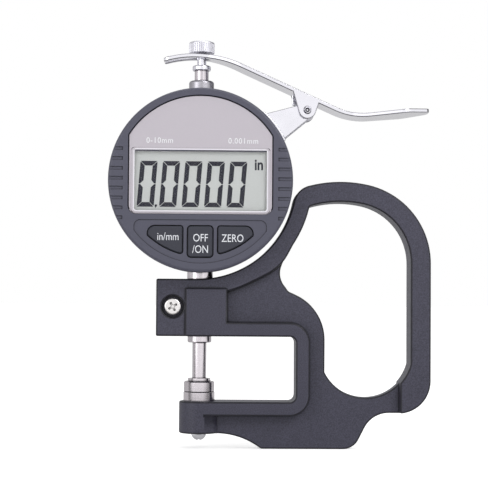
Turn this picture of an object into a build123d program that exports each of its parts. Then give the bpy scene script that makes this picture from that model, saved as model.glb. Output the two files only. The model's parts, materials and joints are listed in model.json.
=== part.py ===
"""Digital thickness gauge: a dark cast frame with a finger loop carries a round digital
indicator, whose spindle is lifted off a fixed anvil by a thumb lever.

Millimetres, +Z up along the spindle. The origin is on the spindle axis, on the top face of
the anvil. -Y is the side with the display, and the handle lies towards +X.
"""
from build123d import *
from math import cos, radians, sin, sqrt, tan
import os

os.makedirs("parts", exist_ok=True)

# Clearances
run_clear = 0.03        # radial gap of a part that slides or turns
seat_clear = 0.02       # radial gap of a part that is screwed or glued in place
panel_clear = 0.1       # gap round a plate in its recess
head_clear = 1.9        # from the frame's arm to the head
cradle_gap = 2.1        # from the head to the frame's cradle

# Measuring stack
travel = 10.0
spindle_d = 4.35
anvil_d, anvil_h = 9.7, 3.0
anvil_shank_d, anvil_shank_len = 4.0, 6.0
anvil_screw_d, anvil_screw_len = 2.5, 5.5
anvil_screw_head_d, anvil_screw_head_h = 4.6, 2.3
contact_d, contact_h = 9.5, 3.1
collar_d, collar_h = 7.0, 0.9
contact_thread_d, contact_thread_len = 2.5, 5.0
disc_chamfer = 0.35
bush_flange_d, bush_flange_h = 7.4, 2.0
bush_len = 7.0
stem_d, stem_bore_d = 8.0, 6.0

# Frame casting
web_t, limb_t, rim_t = 5.0, 10.5, 12.0
throat_depth, throat_h = 29.7, 20.0
throat_corner_r = 1.9
rim_w, rim_corner_r = 4.3, 6.2
arm_left, arm_h = -13.4, 17.65
pad_left, pad_right, pad_step = -4.5, 8.5, 2.75
boss_d, boss_h = 12.3, 9.9
cradle_x, cradle_rise = -0.8, 0.2
cradle_limb_w = 5.1
handle_right = 71.4
handle_limb_w = 6.25
handle_corner_r, handle_corner_z = 24.8, 39.9
crown_r = 38.9
crown_angle = 77.5      # direction in which the crown meets the corner arc
crown_sweep = 42.0
horn_r = 6.4            # convex end of the cradle limb
heel_low = -6.4
heel_r = 10.0
heel_step_x = 62.0
foot_drop = 4.7
foot_left_arc_x, foot_left_arc_r = 5.3, 23.0
foot_left_corner_r = 1.5
foot_right, foot_right_r = 47.9, 5.45
instep_w, instep_r = 5.7, 8.5
loop_low_z, loop_low_r = 12.5, 14.2
loop_low_shift = 0.5    # the loop's lower arc ends this far past the handle's inner side
knuckle_x, knuckle_z, knuckle_r = 23.5, 16.0, 15.3
waist_r = 6.2
loop_corner_r = 0.9
clamp_x, clamp_rise = -8.3, 9.1
clamp_slit_w = 1.2
clamp_screw_d, clamp_head_d, clamp_head_h = 3.0, 5.4, 1.9
clamp_bore_d, clamp_bore_depth = 6.8, 2.3

# Indicator head
head_r, bezel_overhang = 28.15, 0.25
head_front, head_split, head_back = -12.5, -6.0, 11.5
head_wall, bezel_wall = 2.0, 2.0
bezel_edge_r, housing_edge = 1.0, 0.9
spigot_len, spigot_wall = 1.0, 1.0
face_rim_w, face_side_w, face_foot_w = 2.35, 6.15, 17.65
face_corner_r, face_top_corner_r = 2.5, 1.2
face_recess, plate_sink = 1.2, 0.4
window_side_w, window_foot_w, window_crown_w = 1.0, 0.5, 18.55
window_corner_r, window_ledge = 0.8, 0.5
panel_rim_w, panel_outer_h, panel_drop = 2.65, 3.36, 1.7
panel_sink, panel_corner_r = 0.3, 2.0
grip_shift, grip_count, grip_pitch, grip_w = 1.6, 8, 3.0, 1.1
grip_middle, grip_depth = -1.2, 0.35

# Buttons
key_drop, key_inner_x, key_outer_h, key_rim_w = 2.0, 5.4, 2.7, 4.95
key_corner_r, key_outer_corner_r = 0.7, 2.2
power_half_w, power_rim_w, power_corner_r = 3.75, 4.65, 1.0
key_gap, key_proud, key_travel = 0.35, 0.35, 0.5
key_flange_w, key_flange_t, key_stop = 0.6, 0.5, 0.1
key_edge = 0.25
mat_t = 0.7
mat_clear = 0.15

# Electronics and inner guide
board_gap, board_t = 0.35, 1.2
sensor_w, sensor_end_gap, sensor_t = 16.0, 5.5, 1.3
scale_gap = 0.3
scale_w, scale_end_gap, scale_top_gap, scale_t = 9.0, 4.5, 2.5, 0.7
carrier_w, carrier_h, carrier_back = 10.0, 12.0, 3.2
guide_pin_d = 1.6
rail_w, rail_t, rail_lap = 5.2, 1.5, 2.5
block_w, block_front, block_back, block_depth = 13.0, -5.0, 4.2, 4.4
stem_sink = 1.0         # how far the stem and top bush stop inside their blocks
spring_wire_d, spring_clear, spring_turns = 0.6, 0.35, 6
wire_sides = 6          # a coiled wire is drawn with this many sides

# Back and battery
cover_rim_w, cover_t = 2.4, 2.0
cover_ledge_w, cover_ledge_t = 3.2, 1.2
cover_screw_d, cover_screw_len, cover_screw_head_d = 1.6, 3.0, 3.0
cover_screw_count, cover_screw_inset = 4, 0.4
cell_d, cell_t, cell_edge_gap = 20.0, 3.2, 2.8
holder_wall, holder_floor = 0.8, 0.4
contact_strip_t, contact_strip_w, contact_strip_len = 0.2, 5.0, 14.0
hatch_rim_w, hatch_t, hatch_lip = 1.5, 1.2, 0.9
coin_slot_len, coin_slot_w, coin_slot_depth = 12.0, 1.8, 0.6

# Lifting stack
top_bush_d, top_bush_h = 7.8, 3.9
bush_shoulder_w, bush_edge_r = 0.9, 0.8
spindle_proud = 3.2
ring_d, ring_h, ring_edge_r = 5.7, 1.6, 0.4
neck_d, neck_h = 2.8, 3.8
stud_thread_d, stud_thread_len = 2.4, 5.0
knob_d, knob_h = 8.0, 3.65
knob_edge_r, knob_knurls, knob_knurl = 0.6, 36, 0.22
knob_bore_depth = 2.2

# Lever, its bracket and pivot
pivot_reach, pivot_angle = 11.9, 34.4
pivot_pin_d = 2.0
pin_proud, pin_dimple_d, pin_dimple_depth = 0.35, 0.9, 0.4
lever_t, lever_w, tail_w = 1.3, 10.8, 7.0
crest_x, crest_clear, crest_r = -2.1, 0.25, 33.4
tail_slope, blade_slope, thumb_slope = 17.0, 24.3, 5.7
dip_x, dip_r = 50.3, 20.7
tail_len, tail_flare, tail_flare_r = 14.0, 10.0, 8.0
thumb_w, thumb_lead, thumb_len, thumb_tip_len = 16.4, 4.3, 17.7, 7.5
thumb_flare_r, thumb_shoulder_r = 20.0, 4.0
thumb_tip_w, thumb_tip_r = 5.2, 2.5
fork_clear, fork_end = 0.35, 1.1
ear_t, ear_left, ear_right, ear_r = 1.1, 4.5, 3.6, 2.7
bracket_w, bracket_t, bracket_end_r = 8.0, 1.2, 2.3
bracket_low_angle, bracket_high_angle = 28.0, 46.9
bracket_foot_t, bracket_foot_w, bracket_foot_lap = 1.35, 10.4, 1.5
foot_clear = 0.05
bracket_screw_d, bracket_screw_head_d, bracket_screw_head_h = 1.8, 3.2, 1.0
bracket_screw_angles = (33.0, 42.5)
lever_spring_wire_d, lever_spring_turns = 0.6, 3
lever_leg_angle, lever_leg_len = 174.7, 4.46

# Places that follow from the sizes above
throat_low = -anvil_h
throat_high = throat_low + throat_h
arm_top = throat_high + arm_h
pad_top = arm_top - pad_step
boss_low = throat_low - boss_h
foot_low = boss_low - foot_drop
instep_x = foot_right + instep_w
clamp_z = throat_high + clamp_rise
head_z = arm_top + head_clear + head_r
housing_r = head_r - bezel_overhang
cradle_z = head_z + cradle_rise
cradle_r = head_r + cradle_gap
cradle = Vector(cradle_x, cradle_z)
knuckle = Vector(knuckle_x, knuckle_z)
limb_outer_r = cradle_r + cradle_limb_w
loop_right = handle_right - handle_limb_w
loop_low_x = loop_right + loop_low_shift - loop_low_r
stem_low = throat_high
inner_r = housing_r - head_wall
block_inner = inner_r - block_depth
stem_high = head_z - block_inner - stem_sink
face_r = head_r - face_rim_w
face_half_w = head_r - face_side_w
face_low = face_foot_w - head_r
face_floor = head_front + face_recess
plate_front = head_front + plate_sink
bezel_inner = head_front + bezel_wall
window_half_w = face_half_w - window_side_w
window_low = face_low + window_foot_w
window_high = head_r - window_crown_w
grip_x = face_half_w + grip_shift
panel_arc_r = head_r - panel_rim_w
panel_top = face_low - panel_drop
panel_half_w = sqrt(panel_arc_r**2 - (panel_outer_h - panel_top) ** 2)
key_top = panel_top - key_drop
key_arc_r = head_r - key_rim_w
key_outer_x = sqrt(key_arc_r**2 - (key_outer_h - key_top) ** 2)
power_low = power_rim_w - head_r
key_front = head_front + panel_sink - key_proud
key_flange_front = bezel_inner + key_stop
key_flange_back = key_flange_front + key_flange_t
board_r = head_r - bezel_wall - board_gap
board_front = key_flange_back + key_travel + mat_clear + mat_t
board_back = board_front + board_t
sensor_len = 2 * (block_inner - sensor_end_gap)
sensor_back = board_back + sensor_t
scale_low = scale_end_gap - block_inner
scale_len = 2 * block_inner - travel - scale_end_gap - scale_top_gap
scale_front = sensor_back + scale_gap
carrier_front = scale_front + scale_t
rail_back = block_back + rail_t
rail_half_len = block_inner + rail_lap
cover_r = housing_r - cover_rim_w
cover_inner = head_back - cover_t
cell_z = cell_edge_gap + cell_d / 2 + cover_ledge_w - cover_r
hatch_r = cell_d / 2 + hatch_rim_w
top_bush_low = head_z + housing_r
bush_body_r = top_bush_d / 2 - bush_shoulder_w
top_bush_high = top_bush_low + top_bush_h
spindle_top = top_bush_high + spindle_proud
ring_high = spindle_top + ring_h
knob_low = ring_high + neck_h
head_centre = Vector(0, head_z)
lever_half_w = lever_w / 2
tail_half_w = tail_w / 2
thumb_half_w = thumb_w / 2
crest_z = knob_low - crest_clear
thumb_start = dip_x - thumb_lead
thumb_shoulder = thumb_start + thumb_len
lever_tip = thumb_shoulder + thumb_tip_len


def plane_at(y):
    """Plane that faces the display side, at the depth y."""
    return Plane.XZ.offset(-y)


def direction(angle):
    """Unit vector in a sketch, at an angle in degrees."""
    return Vector(cos(radians(angle)), sin(radians(angle)))


def meeting(centre_a, radius_a, centre_b, radius_b):
    """The point, right of the way from a to b, that is a radius from each centre."""
    way = centre_b - centre_a
    along = (way.length**2 + radius_a**2 - radius_b**2) / (2 * way.length)
    across = sqrt(radius_a**2 - along**2)
    return centre_a + way.normalized() * along + way.normalized().rotate(Axis.Z, 90) * across


def export(builder, label):
    """Name a finished piece and write its file."""
    builder.part.label = label
    export_step(builder.part, f"parts/{label}.step")


# Frame casting: thin web, thicker limbs, and the highest rim round the throat

corner_centre = Vector(handle_right - handle_corner_r, handle_corner_z)
crown_centre = corner_centre - direction(crown_angle) * (crown_r - handle_corner_r)
foot_arc_z = boss_low - foot_left_arc_r
foot_left = foot_left_arc_x + sqrt(foot_left_arc_r**2 - (foot_low - foot_arc_z) ** 2)


def loop_top(inset):
    """Crown and corner of the handle, moved in by a limb's width."""
    corner = CenterArc(corner_centre, handle_corner_r - inset, 0, crown_angle)
    crown = CenterArc(crown_centre, crown_r - inset, crown_angle, crown_sweep)
    return corner, crown


with BuildSketch(Plane.XZ) as silhouette:
    with BuildLine():
        corner, crown = loop_top(0)
        Polyline(crown @ 1, cradle, (cradle_x, boss_low), (foot_left_arc_x, boss_low))
        RadiusArc((foot_left_arc_x, boss_low), (foot_left, foot_low), foot_left_arc_r)
        Polyline(
            (foot_left, foot_low),
            (foot_right, foot_low),
            (instep_x, heel_low),
            (handle_right, heel_low),
            corner @ 0,
        )
    make_face()
    with Locations(((arm_left + cradle_x) / 2, (throat_low + arm_top) / 2)):
        Rectangle(cradle_x - arm_left, arm_top - throat_low)
    with Locations(cradle):
        Circle(cradle_r, mode=Mode.SUBTRACT)
    horn = silhouette.vertices().sort_by_distance((cradle_x + cradle_r, cradle_z - horn_r))[0]
    fillet(horn, horn_r)
    for place, radius in (
        ((handle_right, heel_low), heel_r),
        ((instep_x, heel_low), instep_r),
        ((foot_right, foot_low), foot_right_r),
        ((foot_left, foot_low), foot_left_corner_r),
    ):
        fillet(silhouette.vertices().sort_by_distance(place)[0], radius)

waist = meeting(cradle, limb_outer_r + waist_r, knuckle, knuckle_r + waist_r)

with BuildSketch(Plane.XZ) as loop:
    with BuildLine():
        corner, crown = loop_top(handle_limb_w)
        Polyline(
            crown @ 1,
            cradle,
            knuckle,
            (loop_low_x, loop_low_z),
            (loop_right, loop_low_z),
            corner @ 0,
        )
    make_face()
    with Locations((loop_low_x, loop_low_z)):
        Circle(loop_low_r)
    with Locations((loop_right + loop_low_r / 2, loop_low_z)):
        Rectangle(loop_low_r, 2 * loop_low_r, mode=Mode.SUBTRACT)
    with Locations(cradle):
        Circle(limb_outer_r, mode=Mode.SUBTRACT)
    with Locations(knuckle):
        Circle(knuckle_r, mode=Mode.SUBTRACT)
        Rectangle(2 * knuckle_r, 2 * knuckle_r, align=(Align.CENTER, Align.MAX), mode=Mode.SUBTRACT)
    with BuildLine():
        Polyline(cradle, knuckle, waist, close=True)
    make_face(mode=Mode.SUBTRACT)
    with Locations(waist):
        Circle(waist_r)
    top_left = loop.vertices().sort_by_distance((cradle_x + limb_outer_r, cradle_z))[0]
    fillet(top_left, loop_corner_r)

with BuildSketch(Plane.XZ) as throat:
    throat_left = arm_left - rim_w
    with Locations((throat_left, throat_low)):
        Rectangle(
            throat_depth - throat_left, throat_high - throat_low, align=(Align.MIN, Align.MIN)
        )
    fillet(throat.vertices().group_by(Axis.X)[-1], throat_corner_r)

with BuildSketch(Plane.XZ) as limbs:
    with Locations(cradle):
        Circle(limb_outer_r)
    with Locations((arm_left, throat_high)):
        Rectangle(pad_left - arm_left + rim_w, arm_h, align=(Align.MIN, Align.MIN))
    with Locations((heel_step_x, heel_low)):
        Rectangle(head_r, 2 * head_r, align=(Align.MIN, Align.MIN))
    with Locations((knuckle_x + waist_r, handle_corner_z)):
        Rectangle(2 * head_r, 2 * head_r, align=(Align.MIN, Align.MIN))
    add(silhouette.sketch_local, mode=Mode.INTERSECT)

with BuildSketch(Plane.XZ) as rim:
    with Locations((0, throat_low - rim_w)):
        Rectangle(throat_depth + rim_w, throat_h + 2 * rim_w, align=(Align.MIN, Align.MIN))
    fillet(rim.vertices().group_by(Axis.X)[-1], rim_corner_r)
    with Locations((pad_left, throat_high)):
        Rectangle(pad_right - pad_left, pad_top - throat_high, align=(Align.MIN, Align.MIN))

with BuildPart() as frame:
    for outline, thickness in ((silhouette, web_t), (limbs, limb_t), (rim, rim_t)):
        with BuildSketch(Plane.XZ):
            add(outline.sketch_local)
            add(loop.sketch_local, mode=Mode.SUBTRACT)
            add(throat.sketch_local, mode=Mode.SUBTRACT)
        extrude(amount=thickness / 2, both=True)
    with BuildSketch(Plane.XY.offset(boss_low)):
        Circle(boss_d / 2)
    extrude(amount=boss_h)
    with Locations((0, 0, arm_top)):
        Hole(stem_d / 2 + seat_clear, depth=arm_top - throat_high)
    with Locations((0, 0, throat_low)):
        Hole(anvil_shank_d / 2 + seat_clear, depth=anvil_shank_len + seat_clear)
        Hole(anvil_screw_d / 2 + seat_clear, depth=throat_low - boss_low)
    with BuildSketch(Plane.XY.offset(arm_top)):
        with Locations((arm_left, 0)):
            Rectangle(-arm_left, clamp_slit_w, align=(Align.MIN, Align.CENTER))
    extrude(amount=throat_high - arm_top, mode=Mode.SUBTRACT)
    with Locations(Location(plane_at(-limb_t / 2)) * Location((clamp_x, clamp_z, 0))):
        CounterBoreHole(
            clamp_screw_d / 2 + seat_clear, clamp_bore_d / 2, clamp_bore_depth, depth=limb_t
        )
export(frame, "frame")

# Anvil, its screw and the clamp screw

with BuildPart() as anvil:
    with BuildSketch(Plane.XZ):
        with BuildLine():
            shank_low = throat_low - anvil_shank_len
            Polyline(
                (0, 0),
                (anvil_d / 2 - disc_chamfer, 0),
                (anvil_d / 2, -disc_chamfer),
                (anvil_d / 2, throat_low),
                (anvil_shank_d / 2, throat_low),
                (anvil_shank_d / 2, shank_low),
                (0, shank_low),
                close=True,
            )
        make_face()
    revolve(axis=Axis.Z)
    with BuildSketch(Plane.XY.offset(shank_low)):
        Circle(anvil_screw_d / 2 + seat_clear)
    extrude(amount=anvil_screw_len + boss_low - shank_low + 1.0, mode=Mode.SUBTRACT)
export(anvil, "anvil")

with BuildPart() as anvil_screw:
    with BuildSketch(Plane.XZ):
        with BuildLine():
            head_low = boss_low - anvil_screw_head_h
            brim_r, brim_low = anvil_screw_head_d / 2, boss_low - anvil_screw_head_h / 4
            dome_h = brim_low - head_low
            Polyline(
                (brim_r, brim_low),
                (brim_r, boss_low),
                (anvil_screw_d / 2, boss_low),
                (anvil_screw_d / 2, boss_low + anvil_screw_len),
                (0, boss_low + anvil_screw_len),
                (0, head_low),
            )
            RadiusArc((0, head_low), (brim_r, brim_low), -(brim_r**2 + dome_h**2) / (2 * dome_h))
        make_face()
    revolve(axis=Axis.Z)
    with BuildSketch(Plane.XY.offset(head_low)):
        for turn in (0, 90):
            Rectangle(0.55 * anvil_screw_head_d, 0.6, rotation=turn)
    extrude(amount=anvil_screw_head_h / 2, mode=Mode.SUBTRACT)
export(anvil_screw, "anvil_screw")

clamp_seat_y = -limb_t / 2 + clamp_bore_depth
with BuildPart() as clamp_screw:
    with BuildSketch(plane_at(clamp_seat_y)):
        with Locations((clamp_x, clamp_z)):
            Circle(clamp_head_d / 2)
    extrude(amount=clamp_head_h)
    fillet(clamp_screw.edges().group_by(Axis.Y)[0], clamp_head_h / 3)
    with BuildSketch(plane_at(clamp_seat_y)):
        with Locations((clamp_x, clamp_z)):
            Circle(clamp_screw_d / 2)
    extrude(amount=-(limb_t - clamp_bore_depth))
    with BuildSketch(plane_at(clamp_seat_y - clamp_head_h)):
        with Locations((clamp_x, clamp_z)):
            for turn in (30, 120):
                Rectangle(0.55 * clamp_head_d, 0.7, rotation=turn)
    extrude(amount=-clamp_head_h / 2, mode=Mode.SUBTRACT)
export(clamp_screw, "clamp_screw")

# Stem and the bushes that guide the spindle

with BuildPart() as stem:
    with BuildSketch(Plane.XY.offset(stem_low)):
        Circle(stem_d / 2)
        Circle(stem_bore_d / 2, mode=Mode.SUBTRACT)
    extrude(amount=stem_high - stem_low)
    chamfer(stem.edges().group_by(Axis.Z)[-1], 0.3)
export(stem, "stem")

with BuildPart() as lower_bush:
    with BuildSketch(Plane.XY.offset(stem_low)):
        Circle(bush_flange_d / 2)
    extrude(amount=-bush_flange_h)
    with BuildSketch(Plane.XY.offset(stem_low)):
        Circle(stem_bore_d / 2 - seat_clear)
    extrude(amount=bush_len)
    with Locations((0, 0, stem_low + bush_len)):
        Hole(spindle_d / 2 + run_clear)
    chamfer(lower_bush.edges().group_by(Axis.Z)[0], 0.3)
export(lower_bush, "lower_bush")

with BuildPart() as top_bush:
    with BuildSketch(Plane.XY.offset(top_bush_low)):
        Circle(top_bush_d / 2)
    extrude(amount=top_bush_h)
    fillet(top_bush.edges().group_by(Axis.Z)[-1], bush_edge_r)
    with BuildSketch(Plane.XY.offset(top_bush_low)):
        Circle(bush_body_r)
    extrude(amount=head_z + block_inner + stem_sink - top_bush_low)
    with Locations((0, 0, top_bush_high)):
        Hole(spindle_d / 2 + run_clear)
export(top_bush, "top_bush")

# Head: rear housing, back cover and what the cover holds

screw_circle_r = cover_r - cover_screw_inset - cover_screw_head_d / 2
screw_angles = [45 + 360 / cover_screw_count * i for i in range(cover_screw_count)]
cover_spots = [Vector(0, head_z) + direction(angle) * screw_circle_r for angle in screw_angles]

with BuildPart() as rear_housing:
    with BuildSketch(plane_at(head_back)):
        with Locations((0, head_z)):
            Circle(housing_r)
    extrude(amount=head_back - head_split)
    chamfer(rear_housing.edges().group_by(Axis.Y)[-1], housing_edge)
    with BuildSketch(plane_at(head_back)):
        with Locations((0, head_z)):
            Circle(cover_r + panel_clear)
    extrude(amount=cover_t, mode=Mode.SUBTRACT)
    with BuildSketch(plane_at(cover_inner)):
        with Locations((0, head_z)):
            Circle(cover_r - cover_ledge_w)
    extrude(amount=cover_ledge_t, mode=Mode.SUBTRACT)
    with BuildSketch(plane_at(cover_inner - cover_ledge_t)):
        with Locations((0, head_z)):
            Circle(inner_r)
    extrude(amount=cover_inner - cover_ledge_t - head_split, mode=Mode.SUBTRACT)
    with BuildSketch(plane_at(head_split)):
        with Locations((0, head_z)):
            spigot_r = head_r - bezel_wall - panel_clear
            Circle(spigot_r)
            Circle(spigot_r - spigot_wall, mode=Mode.SUBTRACT)
    extrude(amount=spigot_len)
    with BuildSketch(plane_at(block_back)):
        with Locations((0, head_z)):
            Rectangle(block_w, 2 * inner_r + head_wall)
            Rectangle(block_w, 2 * block_inner, mode=Mode.SUBTRACT)
            Circle(inner_r + head_wall / 2, mode=Mode.INTERSECT)
    extrude(amount=block_back - block_front)
    with BuildSketch(Plane.XY.offset(head_z)):
        Circle(stem_d / 2 + seat_clear)
    extrude(amount=-head_r, mode=Mode.SUBTRACT)
    with BuildSketch(Plane.XY.offset(head_z)):
        Circle(bush_body_r + seat_clear)
    extrude(amount=head_r, mode=Mode.SUBTRACT)
    with Locations([Location(plane_at(cover_inner)) * Location((p.X, p.Y, 0)) for p in cover_spots]):
        Cylinder(cover_screw_d / 2 + seat_clear, 2 * cover_ledge_t, mode=Mode.SUBTRACT)
    for angle in bracket_screw_angles:
        with Locations(Plane(origin=(0, 0, head_z), z_dir=(cos(radians(angle)), 0, sin(radians(angle))))):
            Cylinder(
                bracket_screw_d / 2 + seat_clear,
                head_r,
                align=(Align.CENTER, Align.CENTER, Align.MIN),
                mode=Mode.SUBTRACT,
            )
export(rear_housing, "rear_housing")

hatch_plug_r = hatch_r - hatch_lip
with BuildPart() as back_cover:
    with BuildSketch(plane_at(cover_inner)):
        with Locations((0, head_z)):
            Circle(cover_r)
        with Locations((0, head_z + cell_z)):
            Circle(hatch_plug_r + panel_clear, mode=Mode.SUBTRACT)
    extrude(amount=-cover_t)
    with BuildSketch(plane_at(head_back)):
        with Locations((0, head_z + cell_z)):
            Circle(hatch_r + panel_clear)
    extrude(amount=hatch_t, mode=Mode.SUBTRACT)
    back_plane = Plane(origin=(0, head_back, 0), x_dir=(1, 0, 0), z_dir=(0, 1, 0))
    with Locations([back_plane.location * Location((p.X, -p.Y, 0)) for p in cover_spots]):
        CounterSinkHole(cover_screw_d / 2 + seat_clear, cover_screw_head_d / 2, depth=cover_t)
export(back_cover, "back_cover")

with BuildPart() as back_cover_screws:
    for spot in cover_spots:
        head_cone = (cover_screw_head_d - cover_screw_d) / 2
        with Locations(back_plane.location * Location((spot.X, -spot.Y, 0))):
            Cone(
                cover_screw_d / 2,
                cover_screw_head_d / 2 - seat_clear,
                head_cone,
                align=(Align.CENTER, Align.CENTER, Align.MAX),
            )
            Cylinder(
                cover_screw_d / 2, cover_screw_len, align=(Align.CENTER, Align.CENTER, Align.MAX)
            )
            for turn in (0, 90):
                Box(1.6, 0.4, 0.8, rotation=(0, 0, turn), mode=Mode.SUBTRACT)
export(back_cover_screws, "back_cover_screws")

with BuildPart() as battery_cover:
    with BuildSketch(plane_at(head_back)):
        with Locations((0, head_z + cell_z)):
            Circle(hatch_r)
    extrude(amount=hatch_t)
    with BuildSketch(plane_at(head_back - hatch_t)):
        with Locations((0, head_z + cell_z)):
            Circle(hatch_plug_r)
    extrude(amount=cover_t - hatch_t)
    with BuildSketch(plane_at(head_back)):
        with Locations((0, head_z + cell_z)):
            Rectangle(coin_slot_len, coin_slot_w)
    extrude(amount=coin_slot_depth, mode=Mode.SUBTRACT)
export(battery_cover, "battery_cover")

cell_front = cover_inner - cell_t
with BuildPart() as battery:
    with BuildSketch(plane_at(cover_inner)):
        with Locations((0, head_z + cell_z)):
            Circle(cell_d / 2)
    extrude(amount=cell_t)
    chamfer(battery.edges().group_by(Axis.Y)[0], 0.5)
export(battery, "battery")

with BuildPart() as battery_contact:
    with BuildSketch(plane_at(cell_front)):
        with Locations((0, head_z + cell_z)):
            SlotOverall(contact_strip_len, contact_strip_w)
    extrude(amount=contact_strip_t)
export(battery_contact, "battery_contact")

holder_front = cell_front - contact_strip_t - holder_floor
with BuildPart() as battery_holder:
    with BuildSketch(plane_at(cover_inner)):
        with Locations((0, head_z + cell_z)):
            Circle(cell_d / 2 + panel_clear + holder_wall)
    extrude(amount=cover_inner - holder_front)
    with BuildSketch(plane_at(cover_inner)):
        with Locations((0, head_z + cell_z)):
            Circle(cell_d / 2 + panel_clear)
    extrude(amount=cell_t + contact_strip_t, mode=Mode.SUBTRACT)
export(battery_holder, "battery_holder")

# Front of the head: bezel, face plate, window and display


def face_outline():
    """Round face with two straight sides and a straight foot."""
    with Locations((0, head_z)):
        Circle(face_r)
    with Locations((0, head_z + face_low)):
        Rectangle(
            2 * face_half_w, 2 * face_r, align=(Align.CENTER, Align.MIN), mode=Mode.INTERSECT
        )


def window_outline(inset, mode=Mode.ADD):
    """Display window, moved in by inset."""
    with Locations((0, head_z + (window_low + window_high) / 2)):
        RectangleRounded(
            2 * (window_half_w - inset),
            window_high - window_low - 2 * inset,
            window_corner_r,
            mode=mode,
        )


def round_face(sketch):
    """Round the foot corners and the top corners of the face outline."""
    fillet(sketch.vertices().group_by(Axis.Y)[0], face_corner_r)
    fillet(sketch.vertices().group_by(Axis.Y)[-1], face_top_corner_r)


with BuildSketch() as face_shape:
    face_outline()
    round_face(face_shape)

with BuildSketch() as side_key_shape:
    with Locations((0, head_z)):
        Circle(key_arc_r)
        with Locations((key_inner_x, key_top)):
            Rectangle(
                key_outer_x - key_inner_x,
                key_arc_r,
                align=(Align.MIN, Align.MAX),
                mode=Mode.INTERSECT,
            )
    outer_high = side_key_shape.vertices().group_by(Axis.X)[-1].sort_by(Axis.Y)[-1]
    fillet(outer_high, key_outer_corner_r)
    fillet(side_key_shape.vertices().group_by(Axis.X)[0], key_corner_r)

with BuildSketch() as power_key_shape:
    with Locations((0, head_z + (key_top + power_low) / 2)):
        RectangleRounded(2 * power_half_w, key_top - power_low, power_corner_r)

with BuildSketch() as keys_shape:
    add(side_key_shape.sketch_local)
    mirror(about=Plane.YZ)
    add(power_key_shape.sketch_local)


with BuildPart() as front_bezel:
    with BuildSketch(plane_at(head_split)):
        with Locations((0, head_z)):
            Circle(head_r)
    extrude(amount=head_split - head_front)
    fillet(front_bezel.edges().group_by(Axis.Y)[0], bezel_edge_r)
    with BuildSketch(plane_at(head_split)):
        with Locations((0, head_z)):
            Circle(head_r - bezel_wall)
    extrude(amount=head_split - bezel_inner, mode=Mode.SUBTRACT)
    with BuildSketch(plane_at(head_front)):
        offset(face_shape.sketch_local, amount=panel_clear)
    extrude(amount=-face_recess, mode=Mode.SUBTRACT)
    with BuildSketch(plane_at(head_front)):
        window_outline(window_ledge)
    extrude(amount=-2 * bezel_wall, mode=Mode.SUBTRACT)
    with BuildSketch(plane_at(head_front)) as panel:
        with Locations((0, head_z)):
            Circle(panel_arc_r)
            with Locations((0, panel_top)):
                Rectangle(
                    2 * panel_half_w, panel_arc_r, align=(Align.CENTER, Align.MAX), mode=Mode.INTERSECT
                )
        fillet(panel.vertices().group_by(Axis.Y)[-1], panel_corner_r)
    extrude(amount=-panel_sink, mode=Mode.SUBTRACT)
    with BuildSketch(plane_at(head_front)):
        offset(keys_shape.sketch_local, amount=key_gap)
    extrude(amount=-2 * bezel_wall, mode=Mode.SUBTRACT)
    with BuildSketch(plane_at(head_front)):
        for i in range(grip_count):
            rise = grip_middle + grip_pitch * (i - (grip_count - 1) / 2)
            with Locations((grip_x, head_z + rise), (-grip_x, head_z + rise)):
                Rectangle(2 * (head_r - grip_x), grip_w)
        with Locations((0, head_z)):
            Rectangle(2 * grip_x, 2 * head_r, mode=Mode.SUBTRACT)
    extrude(amount=-grip_depth, mode=Mode.SUBTRACT)
export(front_bezel, "front_bezel")

with BuildPart() as face_plate:
    with BuildSketch(plane_at(plate_front)):
        add(face_shape.sketch_local)
        window_outline(-panel_clear, Mode.SUBTRACT)
    extrude(amount=plate_front - face_floor)
export(face_plate, "face_plate")

with BuildPart() as lcd_window:
    with BuildSketch(plane_at(plate_front)):
        window_outline(0)
    extrude(amount=plate_front - face_floor)
export(lcd_window, "lcd_window")

with BuildPart() as lcd_panel:
    with BuildSketch(plane_at(board_front)):
        window_outline(window_ledge + 2 * panel_clear)
    extrude(amount=board_front - face_floor - panel_clear)
export(lcd_panel, "lcd_panel")

# Keys, mat and electronics


for label, shape in (
    ("unit_button", side_key_shape.sketch_local.mirror(Plane.YZ)),
    ("power_button", power_key_shape.sketch_local),
    ("zero_button", side_key_shape.sketch_local),
):
    with BuildPart() as key:
        with BuildSketch(plane_at(key_flange_front)):
            add(shape)
        extrude(amount=key_flange_front - key_front)
        chamfer(key.edges().group_by(Axis.Y)[0], key_edge)
        with BuildSketch(plane_at(key_flange_back)):
            offset(shape, amount=key_flange_w)
        extrude(amount=key_flange_t)
    export(key, label)

with BuildPart() as keypad_mat:
    with BuildSketch(plane_at(board_front)):
        with Locations((0, head_z)):
            Circle(board_r - bezel_wall)
            with Locations((0, window_low - window_ledge)):
                Rectangle(2 * board_r, board_r, align=(Align.CENTER, Align.MAX), mode=Mode.INTERSECT)
    extrude(amount=mat_t)
export(keypad_mat, "keypad_mat")

with BuildPart() as circuit_board:
    with BuildSketch(plane_at(board_back)):
        with Locations((0, head_z)):
            Circle(board_r)
    extrude(amount=board_t)
export(circuit_board, "circuit_board")

with BuildPart() as sensor_board:
    with BuildSketch(plane_at(sensor_back)):
        with Locations((0, head_z)):
            RectangleRounded(sensor_w, sensor_len, 1.0)
    extrude(amount=sensor_t)
export(sensor_board, "sensor_board")

with BuildPart() as guide_rail:
    with BuildSketch(plane_at(rail_back)):
        with Locations((0, head_z)):
            Rectangle(rail_w, 2 * rail_half_len)
        with Locations((0, head_z + travel / 2)):
            SlotOverall(
                travel + 2 * guide_pin_d,
                guide_pin_d + 2 * run_clear,
                rotation=90,
                mode=Mode.SUBTRACT,
            )
    extrude(amount=rail_t)
export(guide_rail, "guide_rail")

# What rides on the spindle

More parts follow.
